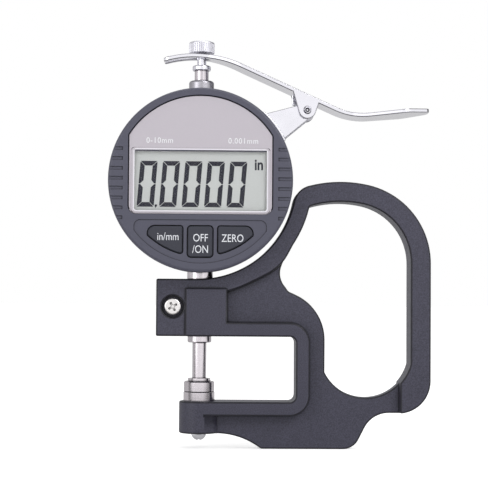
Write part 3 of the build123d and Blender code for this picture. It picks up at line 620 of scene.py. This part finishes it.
@dataclass(frozen=True)
class ClearGlass:
    """Clear window that lets the lamps reach what lies behind it."""

    roughness: float = 0.03
    rough_share: Pair = (0.5, 1.5)
    cloud: float = 12 * MM
    ior: float = 1.3

    def dress(self, t: MaterialTree) -> None:
        """Feed the shader.

        Args:
            t: The material's tree.
        """
        clouds = t.group(t.effects.clouds, Size=self.cloud)
        rough = t.spread(clouds["Amount"], *(self.roughness * share for share in self.rough_share))
        t.feed(t.skin, Base_Color=WHITE, Transmission_Weight=1.0, IOR=self.ior, Roughness=rough)
        ray = t.add("ShaderNodeLightPath").outputs
        mix = t.add("ShaderNodeMixShader")
        t.put(mix.inputs[0], t.maths("MAXIMUM", ray["Is Shadow Ray"], ray["Is Diffuse Ray"]))
        t.put(mix.inputs[1], t.skin.outputs[0])
        t.put(mix.inputs[2], t.add("ShaderNodeBsdfTransparent").outputs[0])
        t.put(t.tree.nodes["Material Output"].inputs["Surface"], mix.outputs[0])


# The first seventeen are the record's material slots
FINISHES: dict[str, Enamel | Moulding | Metal | Print | ClearGlass] = {
    "frame_enamel": Enamel((69, 68, 82), (104, 104, 120), (3, 3, 5)),
    "ground_steel": Metal((206, 200, 205), 0.15, Lay.TURNED, nook=0.6 * MM, joints=True),
    "bright_plate": Metal((244, 243, 250), 0.14, nook=0.4 * MM, rim=0.35),
    "satin_plate": Metal((228, 227, 235), 0.26, Lay.TURNED, variation=0.03, nook=0.2 * MM),
    "polished_lever": Metal((243, 242, 249), 0.12, Lay.DRAWN, 0.003 * MM, 0.02, rim=0.45),
    "spring_steel": Metal((228, 228, 234), 0.25, nook=0.1 * MM),
    "case_plastic": Moulding((66, 66, 78), 0.3),
    "bezel_plastic": Moulding((84, 84, 98), 0.42),
    "key_plastic": Moulding((56, 57, 67), 0.45),
    "face_silver": Print((194, 188, 196), 0.42, joint=0.5 * MM),
    "clear_window": ClearGlass(),
    "display_glass": Print((196, 199, 198), 0.4, shine=0.2),
    "mat_rubber": Moulding((120, 120, 124), 0.6),
    "board_laminate": Moulding((40, 96, 60)),
    "brass_rail": Metal((214, 186, 120), 0.25, Lay.GROUND),
    "inner_plastic": Moulding((110, 110, 112), 0.5),
    "cell_steel": Metal((208, 208, 210), lay=Lay.GROUND),
    "key_ink": Print((232, 234, 240)),
    "face_ink": Print((236, 236, 240)),
    "liquid_crystal": Print((38, 38, 50), 0.6, 0.0, 0.0),
    # Painted highlight on the bevel round the window
    "window_bevel_highlight": Print((232, 230, 236), 0.4),
    # Painted shadow along the top inside the window's recess
    "window_top_shadow": Print((84, 82, 94), shine=0.1),
    # Painted shade of the gap round the silver face
    "face_gap_shade": Print((40, 39, 48), shine=0.1),
    # Darker than satin_plate: painted shade on the top bush, which sits between the lever and the head
    "shaded_bush_plate": Metal((172, 170, 177), 0.34, Lay.TURNED, variation=0.03),
    "knob_plate": Metal((222, 221, 229), 0.44, Lay.TURNED, variation=0.03, nook=0.08 * MM),
    # Painted shade in the groove of the pin's head
    "pin_groove_shade": Metal((60, 60, 66), 0.4),
    "screw_plate": Metal((232, 229, 228), 0.3, nook=0.6 * MM),
    "dome_plate": Metal((236, 235, 240), 0.06, nook=0.3 * MM),
}


class Wardrobe:
    """Every finish as a Blender material, made when it is first asked for."""

    def __init__(self) -> None:
        """Build the shared effects."""
        self.effects = Effects()
        self.made: dict[str, Material] = {}

    def get(self, name: str) -> Material:
        """Give a material.

        Args:
            name: The name of its finish.

        Returns:
            The material.
        """
        if name not in self.made:
            tree = MaterialTree(name, self.effects)
            FINISHES[name].dress(tree)
            self.made[name] = tree.material
        return self.made[name]


def new_object(name: str, data: ID) -> Object:
    """Put some data into the scene.

    Args:
        name: The object's name.
        data: Its mesh, text, lamp or camera.

    Returns:
        The object.
    """
    thing = bpy.data.objects.new(name, data)
    bpy.context.scene.collection.objects.link(thing)
    return thing


def plain_mesh(name: str, shape: BMesh) -> Object:
    """Turn edited geometry into an object.

    Args:
        name: The piece's name.
        shape: The geometry, which is freed.

    Returns:
        The object, linked to the scene.
    """
    mesh = bpy.data.meshes.new(name)
    shape.to_mesh(mesh)
    shape.free()
    return new_object(name, mesh)


def settle(piece: Object) -> Object:
    """Bake an object's modifiers and place into a plain mesh of the same name.

    Args:
        piece: A mesh or text object.

    Returns:
        The plain object that takes its place.
    """
    bpy.context.view_layer.update()
    graph = bpy.context.evaluated_depsgraph_get()
    graph.update()
    mesh = bpy.data.meshes.new_from_object(piece.evaluated_get(graph))
    mesh.transform(piece.matrix_world)
    name = piece.name
    bpy.data.objects.remove(piece)
    mesh.name = name
    return new_object(name, mesh)


def smooth(piece: Object, sharp_angle: float = 30.0) -> None:
    """Shade a mesh smooth, with creases where it turns sharply.

    Args:
        piece: The mesh object.
        sharp_angle: Edges that turn by more than this many degrees stay creased.
    """
    piece.data.shade_smooth()
    piece.data.set_sharp_from_angle(angle=math.radians(sharp_angle))


def plateau(value: float, start: float, full: float, fade: float, end: float) -> float:
    """Give a share that rises smoothly from 0 to 1, stays, and falls to 0 again.

    Args:
        value: Where to look.
        start: Where it starts to rise.
        full: Where it reaches 1.
        fade: Where it starts to fall.
        end: Where it is back at 0.

    Returns:
        The share.
    """
    part = min((value - start) / (full - start), (end - value) / (end - fade))
    part = max(0.0, min(1.0, part))
    return part * part * (3 - 2 * part)


def rounded_loop(
    left: float, right: float, low: float, high: float, radius: float, steps: int = 6
) -> list[Pair]:
    """Give the points of a rectangle with rounded corners, in order round it.

    Args:
        left: Its left side.
        right: Its right side.
        low: Its foot.
        high: Its top.
        radius: Its corners' radius.
        steps: How many stretches a corner has.

    Returns:
        The points.
    """
    points = []
    for x, z, start in (
        (right - radius, high - radius, 0),
        (left + radius, high - radius, 90),
        (left + radius, low + radius, 180),
        (right - radius, low + radius, 270),
    ):
        for i in range(steps + 1):
            angle = math.radians(start + 90 * i / steps)
            points.append((x + radius * math.cos(angle), z + radius * math.sin(angle)))
    return points


def add_slab(shape: BMesh, outline: Outline, front: float, back: float) -> None:
    """Add a closed flat slab to some geometry.

    Args:
        shape: The geometry.
        outline: The slab's corners, across and up.
        front: Y of its front face.
        back: Y of its back face.
    """
    near = [shape.verts.new((x, front, z)) for x, z in outline]
    far = [shape.verts.new((vert.co.x, back, vert.co.z)) for vert in near]
    faces = [shape.faces.new(near), shape.faces.new(far[::-1])]
    for i in range(len(near)):
        j = (i + 1) % len(near)
        faces.append(shape.faces.new((near[i], far[i], far[j], near[j])))
    bmesh.ops.recalc_face_normals(shape, faces=faces)


def ring_slab(name: str, outer: Outline, inner: Outline, front: float, back: float) -> Object:
    """Make a flat closed ring between two outlines of as many points.

    Args:
        name: The piece's name.
        outer: Its outer outline, across and up.
        inner: Its inner outline.
        front: Y of its front face.
        back: Y of its back face.

    Returns:
        The object.
    """
    shape = bmesh.new()
    outer_front, outer_back, inner_front, inner_back = (
        [shape.verts.new((x, y, z)) for x, z in ring] for ring in (outer, inner) for y in (front, back)
    )
    loops = (outer_front, inner_front, inner_back, outer_back, outer_front)
    for near, far in zip(loops, loops[1:]):
        for i in range(len(near)):
            j = (i + 1) % len(near)
            shape.faces.new((near[i], near[j], far[j], far[i]))
    bmesh.ops.recalc_face_normals(shape, faces=shape.faces)
    return plain_mesh(name, shape)


def head_height() -> float:
    """Give the height of the middle of the head."""
    return sum(corner.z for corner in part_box("front_bezel")) / 2


@dataclass
class CameraPose:
    """Where the photograph was taken from, found from the object's own edges."""

    place: tuple[float, float, float] = (1.38 * MM, -450 * MM, 27.47 * MM)
    yaw: float = 1.56
    pitch: float = 2.32
    roll: float = 0.41
    focal_pixels: float = 1445.1
    sensor: float = 36.0

    def matrix(self) -> Matrix:
        """Work out the camera's place and turn.

        Returns:
            Both as one matrix.
        """
        yaw, pitch, roll = (math.radians(angle) for angle in (self.yaw, self.pitch, self.roll))
        ahead = Vector(
            (math.sin(yaw) * math.cos(pitch), math.cos(yaw) * math.cos(pitch), math.sin(pitch))
        )
        level = Vector((math.cos(yaw), -math.sin(yaw), 0.0))
        above = level.cross(ahead)
        right = level * math.cos(roll) + above * math.sin(roll)
        up = right.cross(ahead)
        turn = Matrix((right, up, -ahead)).transposed().to_4x4()
        return Matrix.Translation(Vector(self.place)) @ turn


@dataclass
class Lamp:
    """One soft lamp."""

    name: str
    place: tuple[float, float, float]
    side: float
    watts: float


@dataclass
class Studio:
    """Floor, lamps, surroundings and camera."""

    lowest: float
    centre: Vector
    pose: CameraPose
    world_level: float = 0.5
    # How bright metal shows the surroundings, by degrees round from the camera towards +X
    panorama: tuple[Pair, ...] = (
        (-180, 0.7), (-118, 0.65), (-92, 0.95), (-70, 0.7), (-50, 1.1), (-26, 1.2),
        (-18, 1.6), (-8, 1.0), (16, 1.0), (28, 1.55), (40, 1.2), (72, 1.05),
        (92, 0.9), (101, 0.12), (124, 0.06), (142, 0.5), (180, 0.7),
    )
    sky_mirrored: float = 0.36
    sky_start: Pair = (0.35, 0.75)
    # How bright metal shows the floor, by place along Y
    floor_mirrored: tuple[Pair, ...] = (
        (-1.0, 1.0), (-0.24, 1.0), (-0.16, 0.08), (-0.06, 0.08), (-0.01, 0.5),
    )
    floor_side: float = 40.0
    floor_roughness: float = 0.9
    floor_tone: Colour = (0.8, 0.8, 0.8, 1.0)
    floor_glow: Pair = (0.55, 0.68)  # Near the object and far from it
    glow_turns: Pair = (0.25, 1.6)  # The distances between which the glow changes
    lamps: tuple[Lamp, ...] = (
        Lamp("key_lamp", (0.55, -0.7, 0.7), 0.5, 5.0),
        Lamp("fill_lamp", (-0.7, -0.6, 0.2), 0.5, 1.8),
        Lamp("top_lamp", (0.0, 0.1, 0.9), 0.7, 3.0),
    )

    def build(self) -> None:
        """Make everything that isn't part of the gauge."""
        bpy.context.scene.view_settings.view_transform = "Standard"
        self._floor()
        self._world()
        for lamp in self.lamps:
            self._lamp(lamp)
        self._camera()

    def _floor(self) -> None:
        """Lay a pale floor that looks white and keeps the shadow."""
        half = self.floor_side / 2
        shape = bmesh.new()
        corners = ((-half, -half), (half, -half), (half, half), (-half, half))
        shape.faces.new([shape.verts.new((x, y, self.lowest)) for x, y in corners])
        floor = plain_mesh("floor", shape)
        t = MaterialTree("pale_floor")
        t.feed(t.skin, Roughness=self.floor_roughness, Emission_Color=WHITE)
        ray = t.add("ShaderNodeLightPath").outputs
        place = t.add("ShaderNodeSeparateXYZ")
        t.put(place.inputs[0], t.add("ShaderNodeTexCoord").outputs["Object"])
        mirrored = t.ramp(place.outputs["Y"], self.floor_mirrored)
        aside, along = (t.maths("ABSOLUTE", place.outputs[axis]) for axis in "XY")
        glow = t.spread(t.maths("MAXIMUM", along, aside), *self.floor_glow, *self.glow_turns)
        glossy = ray["Is Glossy Ray"]
        dim = t.maths("MULTIPLY_ADD", glossy, t.maths("SUBTRACT", mirrored, 1.0), 1.0)
        seen = t.maths("MAXIMUM", ray["Is Camera Ray"], ray["Is Transmission Ray"])
        lit = t.maths("MULTIPLY_ADD", glossy, mirrored, seen)
        strength = t.maths("MULTIPLY", lit, glow)
        t.feed(t.skin, Base_Color=t.blend(dim, BLACK, self.floor_tone), Emission_Strength=strength)
        floor.data.materials.append(t.material)
        floor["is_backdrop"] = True

    def _world(self) -> None:
        """Surround the object with soft white, darker low down at the sides for metal to show."""
        world = bpy.data.worlds.new("studio")
        bpy.context.scene.world = world
        world.use_nodes = True
        t = Tree(world.node_tree)
        ray = t.add("ShaderNodeLightPath").outputs
        seen = t.maths("MAXIMUM", ray["Is Camera Ray"], ray["Is Transmission Ray"])
        way = t.add("ShaderNodeSeparateXYZ")
        t.put(way.inputs[0], t.add("ShaderNodeTexCoord").outputs["Generated"])
        ahead = t.maths("MULTIPLY", way.outputs["Y"], -1.0)
        angle = t.maths("ARCTAN2", way.outputs["X"], ahead)
        turns = ((math.radians(degrees), level) for degrees, level in self.panorama)
        above = t.spread(way.outputs["Z"], 0.0, 1.0, *self.sky_start)
        around = t.maths("MULTIPLY", t.ramp(angle, turns), t.maths("SUBTRACT", 1.0, above))
        mirrored = t.maths("MULTIPLY_ADD", above, self.sky_mirrored, around)
        glossy = ray["Is Glossy Ray"]
        soft = t.maths("MULTIPLY", t.maths("SUBTRACT", 1.0, glossy), self.world_level)
        level = t.maths("MULTIPLY_ADD", glossy, mirrored, soft)
        backdrop = world.node_tree.nodes["Background"]
        t.feed(backdrop, Color=WHITE, Strength=t.maths("MAXIMUM", seen, level))

    def _lamp(self, lamp: Lamp) -> None:
        """Hang one square lamp that faces the object.

        Args:
            lamp: What it is.
        """
        data = bpy.data.lights.new(lamp.name, "AREA")
        data.shape = "SQUARE"
        data.size = lamp.side
        data.energy = lamp.watts
        thing = new_object(lamp.name, data)
        thing.location = self.centre + Vector(lamp.place)
        thing.rotation_euler = (-Vector(lamp.place)).to_track_quat("-Z", "Y").to_euler()

    def _camera(self) -> None:
        """Set the camera where the photograph's was."""
        data = bpy.data.cameras.new("camera")
        data.sensor_width = self.pose.sensor
        data.lens = self.pose.focal_pixels / IMAGE_SIDE * self.pose.sensor
        data.clip_start = 10 * MM
        data.clip_end = 100.0
        camera = new_object("camera", data)
        camera.matrix_world = self.pose.matrix()
        bpy.context.scene.camera = camera


@dataclass
class SubAssembly:
    """A group of pieces that are dressed together."""

    frame: dict
    wardrobe: Wardrobe
    least_turn: float = 40.0  # Degrees by which the edges that are rounded turn

    def __post_init__(self) -> None:
        """Note each node's material slot and body."""
        record = self.frame["record"]
        self.slots = {row["node"]: row["material_slot"] for row in record["subparts"]}
        groups = record["behaviour"]["bodies"]
        self.bodies = {node: body for body, nodes in groups.items() for node in nodes}

    def dress_nodes(self, *names: str, finish: str = "") -> None:
        """Give CAD nodes a material.

        Args:
            names: The nodes.
            finish: Their finish, where it isn't their slot's own.
        """
        for name in names:
            node = self.frame["nodes"][name]
            node.data.materials.clear()
            node.data.materials.append(self.wardrobe.get(finish or self.slots[name]))
            log.info("dressed %s", name)

    def finish_piece(self, piece: Object, node: str, finish: str = "") -> None:
        """Give a new piece a material, by default that of a CAD node's slot, and attach it to that
        node's body.

        Args:
            piece: The piece.
            node: The node that it belongs to.
            finish: Its finish, where it isn't the slot's own.
        """
        slot, body = self.slots[node], self.bodies[node]
        piece.data.materials.clear()
        piece.data.materials.append(self.wardrobe.get(finish or slot))
        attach(piece, body)
        log.info("made %s on %s", piece.name, body)

    def welded(self, name: str) -> BMesh:
        """Copy a CAD node's mesh with its loose triangles joined.

        Args:
            name: The node.

        Returns:
            The copy.
        """
        shape = bmesh.new()
        shape.from_mesh(self.frame["nodes"][name].data)
        bmesh.ops.remove_doubles(shape, verts=shape.verts, dist=WELD)
        return shape

    def soften(
        self, node: str, name: str, width: float, reshape: Callable[[BMesh], None] | None = None
    ) -> None:
        """Stand a copy with rounded edges in for a CAD node.

        Args:
            node: The node.
            name: The new piece's name.
            width: How far the rounding reaches from an edge.
            reshape: What moves the copy's vertices before the rounding.
        """
        shape = self.welded(node)
        mark = shape.faces.layers.float.new(RIM_MARK)
        if reshape:
            reshape(shape)
        flat = math.radians(0.05)
        bmesh.ops.dissolve_limit(shape, angle_limit=flat, verts=shape.verts, edges=shape.edges)
        turn = math.radians(self.least_turn)
        edges = [e for e in shape.edges if e.is_manifold and e.calc_face_angle_signed(0.0) > turn]
        rounded = bmesh.ops.bevel(
            shape, geom=edges, affect="EDGES", offset=width, offset_type="OFFSET", segments=3,
            profile=0.5, clamp_overlap=False, miter_outer="SHARP",
        )
        for face in rounded["faces"]:
            face[mark] = 1.0
        piece = plain_mesh(name, shape)
        smooth(piece)
        piece.modifiers.new("even", "WEIGHTED_NORMAL").keep_sharp = True
        piece = settle(piece)
        self.finish_piece(piece, node)
        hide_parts(node)


@dataclass
class CastFrame(SubAssembly):
    """The casting with its clamp and anvil."""

    edge_width: float = 0.5 * MM
    waist_fill: float = 1.4 * MM
    waist_across: tuple[float, ...] = (15 * MM, 22.5 * MM, 34 * MM, 40 * MM)
    waist_along: tuple[float, ...] = (29.8 * MM, 32.5 * MM, 38.5 * MM, 46 * MM)
    cradle_reach: float = 33 * MM

    def fill_waist(self, shape: BMesh) -> None:
        """Make the waist of the finger loop as shallow as in the photograph.

        Args:
            shape: The casting, whose edge round the head stays.
        """
        low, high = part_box("front_bezel")
        middle = (low + high) / 2
        for vert in shape.verts:
            if math.hypot(vert.co.x - middle.x, vert.co.z - middle.z) > self.cradle_reach:
                share = plateau(vert.co.x, *self.waist_across) * plateau(vert.co.z, *self.waist_along)
                vert.co.x += self.waist_fill * share

    def build(self) -> None:
        """Round the casting's edges and dress what is screwed to it."""
        self.soften("frame", "frame_casting", self.edge_width, self.fill_waist)
        self.dress_nodes("anvil")
        self.dress_nodes("anvil_screw", finish="dome_plate")
        self.dress_nodes("clamp_screw", finish="screw_plate")


@dataclass
class SpindleGroup(SubAssembly):
    """The spindle, what guides it and what it carries."""

    travel: float = 10 * MM
    spare: float = 0.1 * MM
    coil_crease: float = 50.0

    def coil(self) -> None:
        """Stand a copy of the spring's coil in for its node."""
        coil = plain_mesh("coil_spring", self.welded("spindle_spring"))
        smooth(coil, self.coil_crease)
        self.finish_piece(coil, "spindle_spring")
        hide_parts("spindle_spring")
        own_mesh(coil)

    def build(self) -> None:
        """Dress the stem, bushes, spindle and knob."""
        self.dress_nodes("stem", "lower_bush", "spindle", "contact_point", "lift_stud")
        self.dress_nodes("scale_carrier", "scale_strip", "guide_pin", "guide_rail")
        # Painted shade: a darker plate for the top bush
        self.dress_nodes("top_bush", finish="shaded_bush_plate")
        self.dress_nodes("lift_knob", finish="knob_plate")
        self.coil()


@dataclass
class IndicatorHead(SubAssembly):
    """The round case, its boards, its face and its battery."""

    joint_width: float = 0.28 * MM
    joint_lift: float = 0.03 * MM
    front_depth: float = 0.01 * MM

    def build(self) -> None:
        """Dress the case and what it holds."""
        self.dress_nodes("rear_housing", "back_cover", "back_cover_screws", "battery_cover")
        self.dress_nodes("battery", "battery_contact", "battery_holder", "front_bezel")
        self.dress_nodes("face_plate", "lcd_window", "lcd_panel", "keypad_mat")
        self.dress_nodes("circuit_board", "sensor_board")
        self.outline()

    def outline(self) -> None:
        """Draw the dark joint round the silver face as a thin ring over its rim: painted shade of the
        gap there.
        """
        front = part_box("face_plate")[0].y
        low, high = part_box("lcd_window")
        shape = self.welded("face_plate")
        behind = [f for f in shape.faces if f.calc_center_median().y > front + self.front_depth]
        bmesh.ops.delete(shape, geom=behind, context="FACES")
        width = self.joint_width
        ring = bmesh.ops.inset_region(
            shape, faces=shape.faces[:], thickness=width, use_boundary=True, use_even_offset=True
        )["faces"]
        reach = Vector((2 * width, 0.0, 2 * width))
        low, high = low - reach, high + reach
        for face in shape.faces[:]:
            middle = face.calc_center_median()
            inside = low.x < middle.x < high.x and low.z < middle.z < high.z
            if inside or face not in ring:
                shape.faces.remove(face)
        loose = [vert for vert in shape.verts if not vert.link_faces]
        bmesh.ops.delete(shape, geom=loose, context="VERTS")
        raised = bmesh.ops.extrude_face_region(shape, geom=shape.faces[:])["geom"]
        lifted = [part for part in raised if isinstance(part, BMVert)]
        bmesh.ops.translate(shape, verts=lifted, vec=(0.0, -self.joint_lift, 0.0))
        bmesh.ops.recalc_face_normals(shape, faces=shape.faces)
        self.finish_piece(plain_mesh("face_outline", shape), "face_plate", "face_gap_shade")


@dataclass(frozen=True)
class Lettering:
    """How a word is set and printed."""

    size: float  # The height of the type, about 1.4 times a capital
    ink: str
    weight: float = 0.0  # How much the strokes are thickened
    squeeze: float = 1.0  # How wide the letters are against their plain width
    spacing: float = 1.0


@dataclass(frozen=True)
class Word:
    """A word, its middle from the head's, and the node whose front face it is on."""

    name: str
    text: str
    across: float
    up: float
    node: str
    lettering: Lettering


ON_KEYS = Lettering(3.3 * MM, "key_ink", squeeze=0.8)
ON_DISPLAY = Lettering(4.7 * MM, "liquid_crystal", 0.13 * MM, 0.82)
ON_PLATE = Lettering(2.4 * MM, "face_ink", 0.025 * MM, 0.92, 1.14)


@dataclass
class Printing(SubAssembly):
    """Words on the keys and the face."""

    thickness: float = 0.02 * MM
    curve_steps: int = 4
    words: tuple[Word, ...] = (
        Word("unit_word", "in/mm", -9.75 * MM, -17.5 * MM, "unit_button", ON_KEYS),
        Word("off_word", "OFF", 0.1 * MM, -17.85 * MM, "power_button", ON_KEYS),
        Word("on_word", "/ON", 0.1 * MM, -21.3 * MM, "power_button", ON_KEYS),
        Word("zero_word", "ZERO", 9.85 * MM, -17.9 * MM, "zero_button", ON_KEYS),
        Word("display_unit", "in", 17.7 * MM, 4.6 * MM, "lcd_panel", ON_DISPLAY),
        Word("travel_word", "0-10mm", -12.5 * MM, 11.8 * MM, "face_plate", ON_PLATE),
        Word("step_word", "0.001mm", 12.9 * MM, 11.8 * MM, "face_plate", ON_PLATE),
    )

    def set_word(self, word: Word) -> None:
        """Set a word on a face that looks towards -Y.

        Args:
            word: The word.
        """
        style = word.lettering
        curve = bpy.data.curves.new(word.name, "FONT")
        curve.body = word.text
        curve.size = style.size
        curve.align_x = "CENTER"
        curve.align_y = "CENTER"
        curve.offset = style.weight
        curve.space_character = style.spacing
        curve.extrude = self.thickness / 2
        curve.resolution_u = self.curve_steps
        letters = new_object(word.name, curve)
        middle = Vector((word.across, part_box(word.node)[0].y, head_height() + word.up))
        letters.matrix_world = (
            Matrix.Translation(middle - Vector((0, self.thickness / 2, 0)))
            @ Matrix.Rotation(math.pi / 2, 4, "X")
            @ Matrix.Diagonal((style.squeeze, 1.0, 1.0, 1.0))
        )
        self.finish_piece(settle(letters), word.node, style.ink)

    def build(self) -> None:
        """Set every word."""
        for word in self.words:
            self.set_word(word)


@dataclass
class Display(SubAssembly):
    """The liquid-crystal figures behind the window, the print round it, and the painted highlight and
    shadow at its edge.
    """

    digit_height: float = 13.95 * MM
    digit_width: float = 5.2 * MM
    stroke: float = 1.4 * MM
    gap: float = 0.1 * MM
    slant: float = math.tan(math.radians(4.5))
    pitch: float = 6.82 * MM
    count: int = 5
    first_left: float = -19.4 * MM
    bottom: float = -8.35 * MM
    thickness: float = 0.04 * MM
    point_gap: float = 0.15 * MM
    point_drop: float = 0.4 * MM
    border_depth: float = 0.05 * MM
    # How far each loop of the border lies inside the window, across and along, and its radius
    border_insets: tuple[tuple[float, float, float], ...] = (
        (-0.1 * MM, -0.1 * MM, 1.2 * MM),
        (0.5 * MM, 0.22 * MM, 1.0 * MM),
        (0.88 * MM, 0.6 * MM, 0.75 * MM),
    )
    # The painted shadow line's height and corner radius
    shade_height: float = 0.42 * MM
    shade_radius: float = 0.2 * MM

    def bar(self, shape: BMesh, outline: Outline) -> None:
        """Add one segment of a figure as a thin closed slab.

        Args:
            shape: The geometry to add to.
            outline: Its corners, across and up.
        """
        add_slab(shape, [(x + z * self.slant, z) for x, z in outline], -self.thickness, 0.0)

    def zero(self) -> Object:
        """Make one figure 0 of six segments with its lower left corner at the origin.

        Returns:
            The object.
        """
        w, h, s, g = self.digit_width, self.digit_height, self.stroke, self.gap
        mid = h / 2
        base = [(g, 0.0), (w - g, 0.0), (w - s - g, s), (s + g, s)]
        left = [(0.0, 0.3 * s), (0.2 * s, 0.2 * s + g), (s, s + g)]
        left += [(s, mid - 0.8 * s), (0.35 * s, mid - g), (0.0, mid - g)]
        right = [(w - x, z) for x, z in left]
        shape = bmesh.new()
        for outline in (base, left, right):
            self.bar(shape, outline)
            self.bar(shape, [(x, h - z) for x, z in outline])
        return plain_mesh("figures", shape)

    def row_tree(self) -> NodeTree:
        """Build the tree that repeats a figure in a row.

        Returns:
            The tree, which takes the number of figures, the step between them and their ink.
        """
        tree = bpy.data.node_groups.new("figure_row", "GeometryNodeTree")
        inputs = {"Geometry": "Geometry", "Figures": "Int", "Pitch": "Vector", "Ink": "Material"}
        for label, kind in inputs.items():
            tree.interface.new_socket(label, in_out="INPUT", socket_type=f"NodeSocket{kind}")
        tree.interface.new_socket("Geometry", in_out="OUTPUT", socket_type="NodeSocketGeometry")
        t = Tree(tree)
        given, result = t.add("NodeGroupInput").outputs, t.add("NodeGroupOutput")
        line = t.feed(t.add("GeometryNodeMeshLine"), Count=given["Figures"], Offset=given["Pitch"])
        copies = t.add("GeometryNodeInstanceOnPoints")
        t.feed(copies, Points=line.outputs[0], Instance=given["Geometry"])
        real = t.feed(t.add("GeometryNodeRealizeInstances"), Geometry=copies.outputs[0])
        inked = t.feed(t.add("GeometryNodeSetMaterial"), Geometry=real.outputs[0], Material=given["Ink"])
        t.feed(result, Geometry=inked.outputs[0])
        return tree

    def build(self) -> None:
        """Make the figures, the point and the print round the window."""
        ink = self.wardrobe.get("liquid_crystal")
        figures = self.zero()
        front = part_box("lcd_panel")[0].y
        figures.location = (self.first_left, front, head_height() + self.bottom)
        row = figures.modifiers.new("row", "NODES")
        row.node_group = self.row_tree()
        given = {"Figures": self.count, "Pitch": (self.pitch, 0.0, 0.0), "Ink": ink}
        for item in row.node_group.interface.items_tree:
            if item.in_out == "INPUT" and item.name in given:
                row[item.identifier] = given[item.name]
        self.finish_piece(settle(figures), "lcd_panel", "liquid_crystal")
        self.point(front)
        self.border()

    def point(self, front: float) -> None:
        """Make the comma-like point after the first figure.

        Args:
            front: The display's front face.
        """
        shape = bmesh.new()
        outline = ((0.3, 0.0), (0.75, 0.55), (0.85, 1.1), (0.1, 1.1), (0.05, 0.5), (0.3, 0.45))
        self.bar(shape, [(x * MM, z * MM) for x, z in outline])
        left = self.first_left + self.digit_width + self.point_gap
        low = head_height() + self.bottom - self.point_drop
        bmesh.ops.translate(shape, verts=shape.verts, vec=(left, front, low))
        self.finish_piece(plain_mesh("decimal_point", shape), "lcd_panel", "liquid_crystal")

    def border(self) -> None:
        """Lay the printed margin, the pale line painted as the highlight of the window's bevel, and the
        dark top line painted as the shadow of its recess.
        """
        low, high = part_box("lcd_window")
        front = low.y - self.border_depth
        loops = []
        for across, along, radius in self.border_insets:
            left, right, top = low.x + across, high.x - across, high.z - along
            loops.append(rounded_loop(left, right, low.z + along, top, radius))
        shape = bmesh.new()
        # The painted shadow line lies along the top of the innermost loop
        shade = rounded_loop(left, right, top - self.shade_height, top, self.shade_radius)
        add_slab(shape, shade, front, low.y)
        margin = ring_slab("window_margin", loops[0], loops[1], front, low.y)
        line = ring_slab("window_bevel_highlight", loops[1], loops[2], front, low.y)
        self.finish_piece(margin, "face_plate")
        self.finish_piece(line, "face_plate", "window_bevel_highlight")
        self.finish_piece(plain_mesh("window_top_shadow", shape), "face_plate", "window_top_shadow")


@dataclass
class LiftLever(SubAssembly):
    """The lever, its bracket, its pin and its spring."""

    strip_rounding: float = 0.32 * MM
    bracket_rounding: float = 0.18 * MM
    groove_depth: float = 0.02 * MM
    groove_radii: Pair = (0.72 * MM, 0.36 * MM)
    groove_steps: int = 8

    def build(self) -> None:
        """Round the strip's edges, dress the rest and paint the shade in the pin head's groove as a dark
        ring.
        """
        self.soften("lever", "lever_strip", self.strip_rounding)
        self.soften("lever_bracket", "bracket_folded", self.bracket_rounding)
        self.dress_nodes("bracket_screws", "lever_pin", "lever_spring")
        low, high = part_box("lever_pin")
        x, z = (low.x + high.x) / 2, (low.z + high.z) / 2
        outer, inner = (
            rounded_loop(x - r, x + r, z - r, z + r, r, self.groove_steps) for r in self.groove_radii
        )
        ring = ring_slab("pin_groove", outer, inner, low.y - self.groove_depth, low.y)
        self.finish_piece(ring, "lever_pin", "pin_groove_shade")


@dataclass
class Keypad(SubAssembly):
    """The three keys."""

    def build(self) -> None:
        """Dress the key caps."""
        self.dress_nodes("unit_button", "power_button", "zero_button")


def main() -> None:
    """Load the frame, dress it and light it."""
    logging.basicConfig(level=logging.INFO, format="%(name)s: %(message)s")
    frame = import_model()
    cad_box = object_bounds()
    wardrobe = Wardrobe()
    for part in (CastFrame, SpindleGroup, IndicatorHead, Keypad, LiftLever, Display, Printing):
        part(frame, wardrobe).build()
    low, high = cad_box
    Studio(lowest=low.z, centre=(low + high) / 2, pose=CameraPose()).build()


if __name__ == "__main__":
    main()
